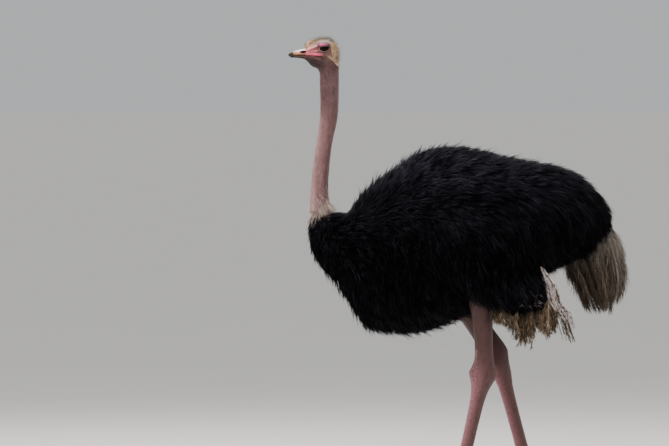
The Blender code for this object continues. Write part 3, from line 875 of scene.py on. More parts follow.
def paint_skin(points):
    """Skin colours all over: face, neck, covered trunk, drumsticks and feet, with painted light on
    the neck and painted shade on the covered trunk and upper legs.
    """
    y, z = points[:, 1], points[:, 2]
    behind = y - np.interp(z, (1.26, 1.39, 1.6, 1.74, 1.86),
                           (-0.59, -0.595, -0.569, -0.553, -0.554))
    veins = (0.3 * eased(ripple(points, 34, (1, 1, 0.3)), 0.05, 0.5) +
             0.3 * eased(ripple(points + 6.3, 110, (1, 1, 0.5)), 0.05, 0.5))
    colour = painted(
        points, (0.25, 0.122, 0.12), (0.55 * (1 - eased(z, 1.47, 1.6)), (0.15, 0.076, 0.082)),
        (0.92 * eased(z, 1.5, 1.8), (0.086, 0.04, 0.046)),
        (0.6 * eased(behind, -0.004, 0.034), (0.098, 0.052, 0.05)),
        # painted light: the rear of the upper neck lightened where it turns from the light, and a
        # lit strip down the front lower down
        (0.65 * eased(behind, 0.008, 0.036) * eased(z, 1.54, 1.66), (0.19, 0.096, 0.09)),
        (0.6 * eased(-behind, 0.01, 0.034) * (1 - eased(z, 1.6, 1.72)), (0.5, 0.29, 0.29)),
        (veins, (0.3, 0.165, 0.165) * (1 - 0.4 * eased(z, 1.6, 1.75))[:, None]))
    spots = eased(ripple(points + 8.1, 80, (1, 1, 0.5)), 0.1, 0.5) * eased(z, 1.24, 1.3)
    colour = paint_face(points, colour * (1 - 0.135 * spots)[:, None])
    legs, ahead = 1 - eased(z, 0.66, 0.72), np.zeros(len(points))
    for label, side in SIDES:
        upper, lower, ankle, foot = leg_line(label)
        line = np.interp(z, (foot[2], ankle[2], lower[2]), (foot[1], ankle[1], lower[1]))
        ahead = np.where(points[:, 0] * side > 0, eased(line - y, -0.01, 0.016), ahead)
        along = unit(upper - lower)
        level = (points - lower) @ along
        off = np.linalg.norm(points - lower - level[:, None] * along, axis=1)
        legs = np.maximum(legs, eased(-off, -0.1, -0.08) * (1 - eased(z, 0.86, 0.95)))
    shin = 0.9 * legs * (1 - eased(z, 0.5, 0.64))
    return layered(
        # painted shade: the trunk's skin under the plumage near black
        colour, ((1 - eased(z, 1.215, 1.255)) * (1 - legs), (0.006, 0.005, 0.006)),
        # painted shade: the upper legs darker under the body than lower down
        (legs, (0.052, 0.02, 0.017)),
        (legs * (1 - eased(z, 0.62, 0.76)), (0.088, 0.039, 0.039)),
        (0.5 * legs * eased(ripple(points, 9), 0.0, 0.6), (0.11, 0.05, 0.05)),
        (shin, (0.12, 0.055, 0.052)), (shin * ahead, (0.26, 0.098, 0.118)),
        ((1 - eased(z, 0.06, 0.16)) * legs, (0.14, 0.084, 0.066)))


def build_skin(form, depth):
    """One closed skin from the bill to the soles."""
    skin = build_head()
    inner = placed("inner", form.data.copy())
    push(inner.data, -depth)
    evened(inner, 0.024, 3)
    for part in (inner, *(build_leg(label) for label, _ in SIDES)):
        combined(skin, part, "UNION")
    points = read_points(skin.data)
    joins = knoll(points, (0, -0.565, 1.2), (0.09, 0.07, 0.06))
    for label, _ in SIDES:
        hip = leg_line(label)[0] + np.array((0, 0, 0.05))
        joins = np.maximum(joins, np.exp(-(((points - hip) / 0.085) ** 2).sum(1)))
    relaxed(skin, np.clip(joins * 1.3, 0, 1), 14)
    mended(skin)
    points = read_points(skin.data)
    write_values(skin.data, "paint", paint_skin(points))
    write_values(skin.data, "scaly", 1 - eased(points[:, 2], 0.5, 0.6))
    legs = [f"{node}_{label}" for label, _ in SIDES for node in LEG_NODES]
    return done(skin, skin_finish(), "neck_skin", "head", *NECK_NODES, "trunk", *legs)


# --- eyes, bill and claws
def build_eyes():
    """Two glossy eyeballs in their sockets, with a clear bulge over the iris."""
    material = eye_finish()
    for label, side in SIDES:
        eye = eye_ball(f"eyeball_{label}", side, 0, 72)
        points = read_points(eye.data)
        off_axis = np.linalg.norm(points[:, 1:] - np.array((EYE.y, EYE.z)), axis=1)
        outer = side * points[:, 0] > EYE.x
        points[:, 0] += side * 0.0008 * bell(off_axis, 0, 0.009) * outer
        write_points(eye.data, points)
        write_values(eye.data, "ring", np.where(outer, off_axis / 0.0135, 2.0))
        done(eye, material, "eye", f"eye_{label}")


def paint_bill(points, lower):
    """Bill colours: pink root, pale ridge partly a painted highlight, tan middle, dark olive tip
    and edges, painted shade in the nostrils.
    """
    y, z = points[:, 1], points[:, 2]
    if lower:
        return painted(points, (0.042, 0.016, 0.007),
                       (0.8 * eased(y, -0.672, -0.655), (0.1, 0.036, 0.024)),
                       (eased(-y, 0.695, 0.713), (0.014, 0.01, 0.004)))
    slot = knoll(points, (0.0245, -0.6668, 1.9474), (0.014, 0.015, 0.0058))
    top = eased(z - 0.16 * (y + 0.665), 1.9505, 1.956)
    return painted(points, (0.86, 0.29, 0.19),
                   # the pale ridge: partly the horn's own colour, partly a painted highlight along
                   # the top
                   (0.95 * top, (1.0, 0.9, 0.96)),
                   (eased(y, -0.668, -0.656) * (1 - top), (0.9, 0.12, 0.19)),
                   (0.9 * eased(-y, 0.688, 0.704) * (1 - 0.6 * top), (0.5, 0.235, 0.12)),
                   (0.9 * eased(1.942 - z, 0, 0.003), (0.19, 0.08, 0.04)),
                   (eased(-y, 0.704, 0.713), (0.014, 0.01, 0.003)),
                   (0.9 * eased(1.934 - z, 0, 0.002), (0.055, 0.028, 0.015)),
                   # painted shade inside the nostril slots
                   (eased(slot, 0.22, 0.45), (0.008, 0.002, 0.003)))


def bill_relief(points, normals, lower):
    """How far the horn stands proud: ridge, grooves, nail at the tip and fine growth lines."""
    x, y, _ = folded(points).T
    up = eased(-normals[:, 2] if lower else normals[:, 2], 0.2, 0.7)
    move = 0.00025 * ripple(points, 260, (1, 0.4, 1))
    if lower:
        return move - 0.0007 * up * bell(x, 0.0075, 0.0022)
    nail = -0.7115 + 0.006 * (x / 0.016) ** 2
    move += 0.0009 * up * bell(x, 0, 0.0055)
    move -= 0.0007 * up * bell(x, 0.0105, 0.003) * eased(-y, 0.655, 0.67)
    move += 0.0007 * eased(nail - y, 0.0, 0.0015) - 0.0006 * bell(nail - y, -0.0008, 0.001)
    return move + 0.00007 * np.sin(y * 1500) * eased(-y, 0.66, 0.68) * (1 - eased(-y, 0.7, 0.71))


def build_bill():
    """Upper and lower horn, with nostril slots in the upper."""
    material = horn_finish("bill_horn", 0.36, (1, 0.25, 1))
    for part, voxel, lower in (("upper", 0.0011, False), ("lower", 0.0012, True)):
        horn = copied(f"bill_{part}_horn", f"bill_{part}", swell=0.0003)
        evened(horn, voxel, 8)
        push(horn.data, bill_relief(read_points(horn.data), read_normals(horn.data), lower))
        for _, side in () if lower else SIDES:
            combined(horn, nostril(side), "DIFFERENCE")
        write_values(horn.data, "paint", paint_bill(read_points(horn.data), lower))
        done(horn, material, "bill_horn", f"bill_{part}")


def build_claws():
    """Blunt claws with growth rings and a worn pale point."""
    material = horn_finish("claw_horn", 0.45, (1, 0.3, 1))
    for label, _ in SIDES:
        claw = copied(f"claw_{label}_horn", f"claw_{label}", swell=0.0002)
        evened(claw, 0.0014, 6)
        points = read_points(claw.data)
        low, high = points[:, 1].min(), points[:, 1].max()
        along = (high - points[:, 1]) / (high - low)
        rings = np.sin(along * 60) * (1 - along)
        points += read_normals(claw.data) * 0.0004 * (
            rings + ripple(points, 180, (1, 0.3, 1)))[:, None]
        points[:, 2] = np.maximum(points[:, 2], 0.0005)
        write_points(claw.data, points)
        write_values(claw.data, "paint", painted(points, (0.085, 0.06, 0.045), (
            eased(along, 0.55, 1.0), (0.24, 0.19, 0.14))))
        done(claw, material, "claw_horn", f"claw_{label}")


# --- strands
def taper(rings, root, fullest):
    """Half-width shares down a strand, pointed at its end."""
    along = np.linspace(0, 1, rings)
    rise = root + (1 - root) * np.clip(along / fullest, 0, 1)
    fall = 1 - np.clip((along - fullest) / (1 - fullest), 0, 1) ** 1.6
    return rise * fall


PATCH = 0.003           # one tuft's width on the unwrapped skin


class Strands:
    """Tapered three-sided strands, gathered and then made one mesh."""

    def __init__(self):
        self.parts, self.paints, self.count = [], [], 0

    def add(self, paths, outward, widths, tone, homes, lane=0, lanes=1, shape=(0.55, 0.35),
            paint=None):
        """Strands along paths (n, rings, 3) whose backs face outward.

        homes is each strand's place on the unwrapped skin, and lane its share of the patch.
        """
        number, rings = paths.shape[:2]
        step = unit(np.gradient(paths, axis=1))
        side = unit(np.cross(step, outward))
        back = np.cross(side, step)[:, :-1]
        side, base = side[:, :-1], paths[:, :-1]
        half = (widths[:, None] * taper(rings, *shape))[..., None][:, :-1]
        ring = np.stack([base - side * half, base + back * half * 0.9, base + side * half], axis=2)
        points = np.concatenate([ring.reshape(number, -1, 3), paths[:, -1:]], axis=1)
        each = points.shape[1]
        corners, sizes, around, level = strand_faces(rings)
        corners = corners + self.count + np.arange(number)[:, None] * each
        patch = np.stack([homes[:, :1] + PATCH * ((lane + around) / lanes),
                          homes[:, 1:] + PATCH * level], axis=2)
        along = np.append(np.repeat(np.linspace(0, 1, rings)[:-1], 3), 1)
        self.parts.append((points.reshape(-1, 3), corners.ravel(), np.tile(sizes, number),
                           patch.reshape(-1, 2), np.tile(along, number), np.repeat(tone, each)))
        if paint is not None:
            self.paints.append(np.repeat(paint, each, axis=0))
        self.count += number * each

    def made(self, name):
        """The gathered strands as one object."""
        points, corners, sizes, patches, along, tone = (
            np.concatenate(values) for values in zip(*self.parts))
        mesh = bpy.data.meshes.new(name)
        for items, number, key, values in (
                (mesh.vertices, len(points), "co", points.astype(np.float32)),
                (mesh.loops, len(corners), "vertex_index", corners.astype(np.int32)),
                (mesh.polygons, len(sizes), "loop_start",
                 (np.cumsum(sizes) - sizes).astype(np.int32))):
            items.add(number)
            items.foreach_set(key, values.ravel())
        mesh.update(calc_edges=True)
        layer = mesh.uv_layers.new(name="OFBake")
        layer.data.foreach_set("uv", patches.astype(np.float32).ravel())
        write_values(mesh, "along", along)
        write_values(mesh, "tone", tone)
        if self.paints:
            write_values(mesh, "paint", np.concatenate(self.paints))
        return placed(name, mesh)


def strand_faces(rings):
    """Corners, face sizes and patch places of one strand with so many rings."""
    corners, sizes, around, level = [0, 2, 1], [3], [0.0, 1.0, 0.5], [0.0, 0.0, 0.15]
    for ring in range(rings - 1):
        low, high, start = ring / (rings - 1), (ring + 1) / (rings - 1), ring * 3
        for first, second in ((0, 1), (1, 2), (2, 0)):
            corners += [start + first, start + second]
            around += [first / 3, (first + 1) / 3]
            if ring == rings - 2:
                corners += [start + 3]
                around += [(first + 0.5) / 3]
            else:
                corners += [start + second + 3, start + first + 3]
                around += [(first + 1) / 3, first / 3]
            sizes.append(len(corners) - sum(sizes))
            level += [low, low] + [high] * (sizes[-1] - 2)
    return (np.array(values) for values in (corners, sizes, around, level))


def unwrapped(along, around):
    """Places in 0 to 1 on an unwrap of the skin, with room for one strand's patch."""
    places = np.stack([along, around], axis=1)
    low, high = places.min(0), places.max(0)
    return 0.004 + (places - low) / (high - low + 1e-9) * (0.992 - PATCH)


def homes_of(points):
    """Places on the unwrapped body: length along it and angle round it."""
    middle = np.interp(points[:, 1], (-0.64, -0.4, 0.0, 0.4, 0.66), (1.21, 1.05, 1.16, 1.24, 1.2))
    return unwrapped(points[:, 1], np.arctan2(points[:, 0], points[:, 2] - middle))


def turned(vectors, normals, angles):
    """Vectors in the surface turned about its normals."""
    return (vectors * np.cos(angles)[:, None] +
            np.cross(normals, vectors) * np.sin(angles)[:, None])


def laid(vectors, normals):
    """Vectors pressed flat onto the surface and made one long."""
    return unit(vectors - normals * (vectors * normals).sum(1)[:, None])


def combed(ground, roots, normals, heading, lengths, steps, freedom, turn):
    """Paths over the ground that follow a lie; freedom lets their ends leave it."""
    place, normal = roots, normals
    course = turned(laid(heading(place, normal), normal), normal, turn)
    places, faces = [place], [normal]
    for step in range(1, steps + 1):
        ahead = place + course * (lengths / steps)[:, None]
        spot, spot_normal = ground.nearest(ahead)
        free = np.clip(freedom * (step / steps) ** 1.5, 0, 1)[:, None]
        place = spot * (1 - free) + ahead * free
        normal = unit(spot_normal * (1 - free * 0.5) + normal * free * 0.5)
        follow = turned(laid(heading(place, normal), normal), normal, turn)
        course = unit(course * 0.45 + follow * 0.55 * (1 - free) + course * 0.55 * free)
        places.append(place)
        faces.append(normal)
    return np.stack(places, axis=1), np.stack(faces, axis=1)


def body_lie(points, normals):
    """The lie of the body plumage: back along the top, turning down towards breast and rump."""
    y, z = points[:, 1], points[:, 2]
    crest = np.interp(y, (-0.6, -0.5, -0.3, 0.0, 0.4, 0.66),
                      (1.27, 1.29, 1.41, 1.5, 1.47, 1.36))
    top = eased(z, crest - 0.42, crest)
    front, rear = eased(-y, 0.52, 0.62), eased(y, 0.1, 0.64)
    angle = -70 + 84 * top - 16 * top * eased(y, -0.25, 0.05) - 50 * rear * (0.35 + 0.65 * top)
    angle = np.radians(np.maximum(angle * (1 - front) - 86 * front, -88))
    heading = np.zeros_like(points)
    heading[:, 1] = np.cos(angle) + 0.7 * eased(-normals[:, 2], 0.25, 0.8)
    heading[:, 2] = np.sin(angle)
    heading[:, 0] = 0.25 * points[:, 0] / 0.27 * eased(normals[:, 2], 0.3, 0.8)
    return heading


def under_coat(points, normals):
    """Where black plumage grows: all over the form except in the neck's own section."""
    from_neck = np.hypot(points[:, 0] / 0.052, (points[:, 1] + 0.59) / 0.054)
    return ~((from_neck < 1) & (points[:, 2] > 1.22) & (normals[:, 2] > 0.55))


def build_coat(ground, depth):
    """The black body plumage, tuft by tuft, in several pieces."""
    dice = np.random.default_rng(11)
    keep = under_coat(ground.points, ground.normals)
    depth = depth[keep]
    count = len(depth)
    jitter = laid(dice.normal(size=(count, 3)), ground.normals[keep])
    guides, guide_normals = ground.nearest(ground.points[keep] + jitter *
                                           dice.uniform(0, 0.007, (count, 1)))
    y, z = guides[:, 1], guides[:, 2]
    up, out = guide_normals[:, 2], guides[:, 0]
    # places that differ: hem over the fluff, keel of the breast, crest, dip behind the neck, nape
    hem = eased(y, 0.2, 0.27) * eased(0.94 - z, 0.0, 0.06) * eased(np.abs(out), 0.12, 0.17)
    keel = eased(-y, 0.3, 0.38) * eased(0.86 - z, 0.0, 0.08)
    crest = eased(up, 0.35, 0.85) * (1 - eased(y, 0.25, 0.5))
    notch = bell(y, -0.504, 0.034) * eased(up, 0.1, 0.5)
    nape = crest * eased(-y, 0.14, 0.26) * (1 - eased(-y, 0.48, 0.52))
    lengths = 0.086 + 0.024 * eased(y, -0.1, 0.5) - 0.028 * eased(-y, 0.45, 0.6)
    lengths = lengths * dice.uniform(0.7, 1.22, count) * (1 - 0.5 * hem) * (1 - 0.45 * keel)
    freedom = dice.uniform(0.05, 0.55, count) + 0.35 * eased(-up, 0.1, 0.6)
    lengths, freedom = lengths * (1 - 0.5 * notch), freedom * (1 - 0.85 * notch)
    swirl = 0.45 * ripple(guides, 7.0) + 0.36 * ripple(guides + 3.1, 19.0)
    swirl += dice.normal(0, 0.17, count)
    paths, faces = combed(ground, guides, guide_normals, body_lie, lengths, 3, freedom, swirl)
    share = np.linspace(0, 1, 4)
    paths = paths - faces * (depth[:, None] * (1 - share) ** 1.7)[..., None]
    lock = ripple(guides + 5.3, 24)
    stray, wisp = dice.random(count) < 0.16, dice.random(count) < 0.05 * crest + 0.16 * nape
    lift = dice.uniform(-0.006, 0.005, count) + 0.009 * lock
    lift += stray * dice.uniform(0.003, 0.012, count) + crest * dice.uniform(0, 0.013, count)
    lift += wisp * dice.uniform(0.008, 0.024, count) + nape * dice.uniform(0, 0.014, count)
    lift = lift * (1 - 0.85 * notch) - 0.017 * notch
    paths = paths + faces * (lift[:, None] * share ** 2)[..., None]
    drawn = unit(np.cross(faces[:, 1], paths[:, 2] - paths[:, 1]))
    pull = 0.013 * ripple(guides + 9.4, 27)
    paths = paths + drawn[:, None] * (pull[:, None] * share ** 1.3)[..., None]
    droop = (0.042 * np.clip(lock, 0, 1) + dice.uniform(0, 0.012, count)) * eased(-up, 0.0, 0.6)
    droop = droop * (1 - hem) * (1 - 0.8 * keel)
    paths[:, :, 2] -= droop[:, None] * share ** 2
    paths[:, :, 0] = np.clip(paths[:, :, 0], -0.306, 0.306)
    under = guides - guide_normals * depth[:, None]
    # tone: random by patch and tuft, times painted light from above that lifts the sheen up the
    # body, and lower towards the rear
    tone = 0.42 + 0.5 * ripple(guides + 7.7, 16) + dice.normal(0, 0.26, count)
    lit_from_above = 0.01 + 0.43 * eased(z, 1.08, 1.34) + 0.72 * eased(z, 1.3, 1.46)
    tone = np.clip(tone, 0, 1) * lit_from_above * (1 - 0.45 * eased(y, 0.22, 0.5))
    regions = np.select([y < -0.4, y > 0.43, (up > 0.6) & (out > 0), up > 0.6, up < -0.45,
                         (out > 0) & (y < 0.02), out > 0, y < 0.02],
                        range(8), default=8)
    thinned = (up < -0.45) & (dice.random(count) < 0.42)
    replaced = {"side_left": ("wing_left",), "side_right": ("wing_right",)}
    for region, (name, strands) in enumerate((
            ("breast", 4), ("rump", 4), ("back_left", 5), ("back_right", 5), ("belly", 4),
            ("flank_left", 4), ("side_left", 4), ("flank_right", 4), ("side_right", 4))):
        chosen = np.nonzero((regions == region) & ~thinned)[0]
        piece = tufted(f"coat_{name}", paths[chosen], faces[chosen], tone[chosen],
                       homes_of(under[chosen]), strands, 100 + region)
        done(piece, BLACK, "black_plumage", *replaced.get(name, ()))


def tufted(name, paths, faces, tone, homes, strands, seed, width=0.0018, spread=0.0085):
    """A piece of tufts: each has several strands that draw together towards its tip."""
    dice = np.random.default_rng(seed)
    count, rings = paths.shape[:2]
    share = np.linspace(0, 1, rings)
    side = unit(np.cross(unit(np.gradient(paths, axis=1)), faces))
    gathered = Strands()
    for strand in range(strands):
        lane = (strand - (strands - 1) / 2) / ((strands - 1) / 2 + 1e-9)
        start = lane * spread + dice.normal(0, spread * 0.3, count)
        finish = lane * spread * 0.8 * dice.uniform(-0.4, 1.6, count) + dice.normal(
            0, spread * 0.75, count)
        wave = dice.normal(0, 0.0035, count)[:, None] * np.sin(
            share * math.pi * 1.6 + dice.uniform(0, 6.28, (count, 1))) * share
        offset = start[:, None] * (1 - share) + finish[:, None] * share ** 1.2 + wave
        reach = dice.uniform(0.68, 1.08, count)[:, None, None]
        path = paths[:, :1] + (paths - paths[:, :1]) * reach
        height = dice.normal(0, 0.0024, count)[:, None] * share
        path = path + side * offset[..., None] + faces * height[..., None]
        gathered.add(path, faces, width * dice.uniform(0.7, 1.3, count),
                     np.clip(tone + dice.normal(0, 0.17, count), 0, 1), homes, strand, strands)
    return gathered.made(name)


# --- tail and wing plumes
def curve_at(table, share):
    """A smooth path's value at each share of its length; the table's rows are evenly spaced."""
    table = np.array(table, float).reshape(len(table), -1)
    place = np.clip(share, 0, 1) * (len(table) - 1)
    start = np.minimum(place.astype(int), len(table) - 2)
    part = (place - start)[..., None]
    before, first, second, after = (table[np.clip(start + shift, 0, len(table) - 1)]
                                    for shift in (-1, 0, 1, 2))
    return 0.5 * (2 * first + (second - before) * part
                  + (2 * before - 5 * first + 4 * second - after) * part ** 2
                  + (3 * first - before - 3 * second + after) * part ** 3)


def fledge(gathered, dice, spine, outward, barbs, reach, splay, hang, tone, home, width, start,
           curl=0.0, mixed=0.15):
    """One loose plume: a thin shaft along the spine and barbs that leave it on both sides."""
    tone, steps = np.clip(tone, 0, 1), 3
    share = np.sort(dice.uniform(start, 1.0, barbs))
    place = curve_at(spine, share)
    course = unit(curve_at(spine, np.minimum(share + 0.03, 1.0)) -
                  curve_at(spine, np.minimum(share, 0.97)))
    out = np.broadcast_to(unit(np.array(outward, float)), course.shape)
    side = unit(np.cross(course, out)) * np.where(np.arange(barbs) % 2, 1, -1)[:, None]
    lean = np.radians(splay) * (1.15 - 0.75 * share) * dice.uniform(0.6, 1.35, barbs)
    ahead = course * np.cos(lean)[:, None] + side * np.sin(lean)[:, None]
    ahead = unit(ahead + out * dice.normal(0, 0.16, (barbs, 1)))
    length = reach * (0.35 + 0.65 * np.sin(np.clip(share * 0.92 + 0.08, 0, 1) * math.pi) ** 0.6)
    length = length * dice.uniform(0.65, 1.2, barbs)
    places = [place]
    twist = dice.normal(0, curl, (barbs, 1)) * side
    for step in range(1, steps + 1):
        pull = hang * step / steps
        ahead = unit(ahead * (1 - pull) + np.array((0, 0, -1.0)) * pull + twist +
                     dice.normal(0, 0.07, (barbs, 3)))
        place = place + ahead * (length / steps)[:, None]
        places.append(place)
    gathered.add(np.stack(places, axis=1), np.repeat(out[:, None], steps + 1, axis=1),
                 width * dice.uniform(0.6, 1.25, barbs),
                 np.clip(tone + dice.normal(0, mixed, barbs), 0, 1), np.tile(home, (barbs, 1)),
                 shape=(0.75, 0.3))
    shaft = curve_at(spine, np.linspace(0, 1, 7))[None]
    gathered.add(shaft, np.repeat(out[:1], 7, axis=0)[None], np.array([width * 1.3]),
                 np.array([min(tone + 0.15, 1)]), np.array([home]), shape=(1.0, 0.1))


# The tail's hind and front outlines as shares of its box, and its width, all from the top down
TAIL_BACK = ((0.7, 1.0), (0.88, 0.88), (1.0, 0.69), (1.035, 0.48), (1.015, 0.28),
             (0.95, 0.12), (0.87, -0.01))
TAIL_FRONT = ((0.14, 0.76), (-0.04, 0.6), (-0.07, 0.47), (0.06, 0.33), (0.19, 0.205),
              (0.31, 0.09), (0.42, 0.0))
TAIL_SPREAD = (0.45, 0.74, 0.93, 1.0, 0.97, 0.92, 0.86)
TAIL_PLUMES, TAIL_BUNCHES = 150, 34


def build_tail():
    """The drooping tail: long loose plumes that end in ragged points."""
    low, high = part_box("tail")
    dice = np.random.default_rng(31)
    gathered = Strands()
    # each bunch: place across, place in depth, length and tone
    bunch = np.array([(math.sin(number * 2.4), (number + 0.5) / TAIL_BUNCHES,
                       dice.uniform(0.76, 1.0), dice.normal(0, 0.09))
                      for number in range(TAIL_BUNCHES)])
    for number in range(TAIL_PLUMES):
        depth = (number + 0.5) / TAIL_PLUMES
        across = math.sin(number * 2.39996) * dice.uniform(0.35, 1.0)
        near = np.argmin((bunch[:, 0] - across) ** 2 + 6 * (bunch[:, 1] - depth) ** 2)
        end = min(bunch[near, 2] * dice.uniform(0.9, 1.03), 1.0)
        end *= 1 - 0.14 * eased(depth, 0.62, 1.0)
        share = np.linspace(0, 1, 8)
        draw = 0.38 * share ** 1.5
        run_across = across * (1 - draw) + bunch[near, 0] * draw
        run_depth = depth * (1 - draw) + bunch[near, 1] * draw
        travel = share * end
        back, front = curve_at(TAIL_BACK, travel), curve_at(TAIL_FRONT, travel)
        inset = (0.5 + (run_depth - 0.5) * 0.9)[:, None]
        flat = front * (1 - inset) + back * inset
        half = curve_at(TAIL_SPREAD, travel)[:, 0] * (high.x - low.x) / 2 * 0.92
        round_off = math.sqrt(max(0.06, 1 - (2 * depth - 1) ** 2 * 0.8))
        spine = np.stack([run_across * half * round_off, low.y + flat[:, 0] * (high.y - low.y),
                          low.z + flat[:, 1] * (high.z - low.z)], axis=1)
        loose = 1.6 if depth < 0.16 or depth > 0.9 else 1.0
        spine += np.cumsum(dice.normal(0, 0.0022 * loose, (8, 3)), axis=0) * share[:, None]
        spine[:, 1] -= dice.uniform(0, 0.022) * (depth < 0.16) * share ** 2
        outward = (across + dice.normal(0, 0.3), 0.9 * (depth - 0.4), 0.15)
        tone = 0.17 + 0.46 * depth ** 2.6 + 0.06 * across + bunch[near, 3] + dice.normal(0, 0.13)
        home = np.array((0.02 + 0.95 * depth, 0.5 + 0.46 * across))
        fledge(gathered, dice, spine, outward, 49, 0.068, 19, 0.25, tone, home, 0.001, 0.03)
    finish = plume_finish("tail_barbs", ((0.036, 0.024, 0.015), (0.098, 0.072, 0.05),
                                         (0.29, 0.24, 0.195), (0.66, 0.59, 0.52)),
                          (0.044, 0.029, 0.018))
    done(gathered.made("tail_plumes"), finish, "tail_plumage", "tail")


def plume_finish(name, tones, tips):
    """Loose plume barbs: four tones from dark to white by plume, and darker low tips."""
    shader = Shader(name, Specular_IOR_Level=0.2)
    tone, along = shader.attribute("tone"), shader.attribute("along")
    grain = shader.noise(300, 3, (1, 1, 0.2))
    colour = shader.node("ShaderNodeValToRGB", {"Fac": tone},
                         stops=list(zip((0.0, 0.38, 0.72, 1.0), tones)))
    streak = shader.tinted(colour, (0.46, 0.44, 0.44))
    colour = shader.mix(grain.above(0.45, 0.8) * (tone.above(0.7, 0.9) * 0.4 + 0.55), colour,
                        streak)
    high = shader.axis("Z").above(0.98, 1.16)
    colour = shader.mix(high * 0.3, colour, (0.48, 0.42, 0.37))
    low = 1 - shader.axis("Z").above(0.8, 1.12)
    kept = 1 - tone.above(0.78, 0.95) * 0.8
    colour = shader.mix(along.above(0.25, 1.0) * low * kept * 0.6, colour, tips)
    return shader.finish(colour, grain * 0.2 + 0.5, grain, 0.0003, 0.4)


# Pale fluff under the wing: place along the wing, lowest height, tone
WING_HEM = ((0.158, 0.772, 0.28), (0.18, 0.79, 0.3), (0.197, 0.803, 0.36),
            (0.225, 0.778, 0.44), (0.254, 0.748, 0.4), (0.268, 0.706, 0.28),
            (0.297, 0.692, 0.26), (0.321, 0.745, 0.36), (0.34, 0.772, 0.46),
            (0.378, 0.732, 0.32), (0.405, 0.755, 0.38), (0.421, 0.768, 0.44),
            (0.445, 0.8, 0.5))
QUILL_REAR = ((0.356, 1.032), (0.39, 0.985), (0.419, 0.945), (0.431, 0.903), (0.448, 0.86),
              (0.484, 0.823), (0.498, 0.77))
QUILL_FORE = ((0.352, 1.03), (0.372, 0.982), (0.381, 0.935), (0.386, 0.895), (0.406, 0.862),
              (0.438, 0.822), (0.48, 0.767))
FLUFF_PLUMES, QUILLS, LOOSE_ENDS, WISPS = 72, 46, 6, 20
WING_SHARE = np.linspace(0, 1, 7)       # shares of a wing plume's length


def hang_fluff(gathered, dice, side, middle, shift):
    """Soft curled plumes in a row under the wing."""
    places, ends, tones = np.array(WING_HEM).T
    for number in range(FLUFF_PLUMES):
        y = 0.168 + 0.24 * (number + dice.random()) / FLUFF_PLUMES
        end = np.interp(y, places, ends) + dice.uniform(-0.004, 0.028)
        tone = np.interp(y, places, tones) + dice.normal(0, 0.09)
        top = np.interp(y, (0.15, 0.25, 0.35, 0.43), (0.868, 0.882, 0.9, 0.872))
        x = middle - side * (0.002 + 0.1 * max(y - 0.35, 0)) + dice.normal(0, 0.013)
        drift, bend = dice.normal(0.003, 0.01), dice.normal(0, 0.012)
        spine = np.stack([x + dice.normal(0, 0.012) * WING_SHARE,
                          y + drift * WING_SHARE + bend * np.sin(WING_SHARE * 3.1) + shift[0],
                          top + (end - top) * WING_SHARE ** 0.85 + shift[1]], axis=1)
        home = np.array((0.05 + 0.9 * (y - 0.15) / 0.31, 0.1 + 0.35 * dice.random()))
        fledge(gathered, dice, spine, (side, dice.normal(0, 0.5), 0.1), 60, 0.04, 32, 0.46,
               tone, home, 0.0011, 0.04, curl=0.17)


def lay_quills(gathered, dice, side, middle, shift):
    """White quills down the wing's hind edge, between the lines QUILL_REAR and QUILL_FORE."""
    for number in range(QUILLS):
        fore = dice.random() ** 1.4 if number > 6 else 0.1
        travel = WING_SHARE * dice.uniform(0.72, 1.0)
        path = curve_at(QUILL_REAR, travel) * (1 - fore) + fore * curve_at(QUILL_FORE, travel)
        outer = 0.03 - 0.014 * fore - 0.02 * travel + (0.004 if number % 6 == 5 else 0)
        spine = np.column_stack([
            middle + side * outer + dice.normal(0, 0.01) * WING_SHARE ** 0.7, path + shift])
        spine += np.cumsum(dice.normal(0, 0.001, (7, 3)), axis=0) * WING_SHARE[:, None]
        tone = (1.0, 0.95, 0.5, 1.0, 0.8, 0.04)[number % 6] - 0.1 * max(fore - 0.3, 0)
        home = np.array((0.05 + 0.9 * number / (QUILLS - 1), 0.6 + 0.35 * dice.random()))
        fledge(gathered, dice, spine, (side, dice.normal(0, 0.5), 0.1), 64, 0.018, 21, 0.12,
               tone, home, 0.0009, 0.02, curl=0.05, mixed=0.42)
    for number in range(LOOSE_ENDS):
        sway = dice.normal(0, 0.008, 3)
        path = curve_at(((0.425, 0.85), (0.46, 0.79), (0.474, 0.745), (0.488, 0.7)),
                        WING_SHARE)
        spine = np.stack([np.full(7, middle + sway[0]), path[:, 0] + sway[1] - 0.006,
                          path[:, 1] + (sway[2] + 0.016) * WING_SHARE], axis=1)
        fledge(gathered, dice, spine, (side, 0.2, 0.1), 26, 0.03, 9, 0.3, 0.22,
               np.array((0.95, 0.1 + 0.06 * number)), 0.0009, 0.05, curl=0.04)


def add_wisps(gathered, dice, side, middle):
    """A few stray pale hairs above the fluff."""
    spot = dice.uniform((0.046, 0.24, 0.862), (0.06, 0.35, 0.925), (WISPS, 3))
    reach = dice.uniform((-0.006, 0.01, -0.022), (0.004, 0.026, -0.004), (WISPS, 3))
    wisp = spot[:, None] + reach[:, None] * np.linspace(0, 1, 5)[:, None]
    wisp[:, :, 2] += 0.004 * np.sin(np.linspace(0, math.pi, 5))
    wisp[:, :, 0] = side * wisp[:, :, 0] + middle
    gathered.add(wisp, np.tile((side, 0.0, 0.0), (WISPS, 5, 1)),
                 dice.uniform(0.0002, 0.0005, WISPS), dice.uniform(0.62, 0.9, WISPS),
                 np.stack([0.1 + spot[:, 1], spot[:, 2] - 0.6], 1))


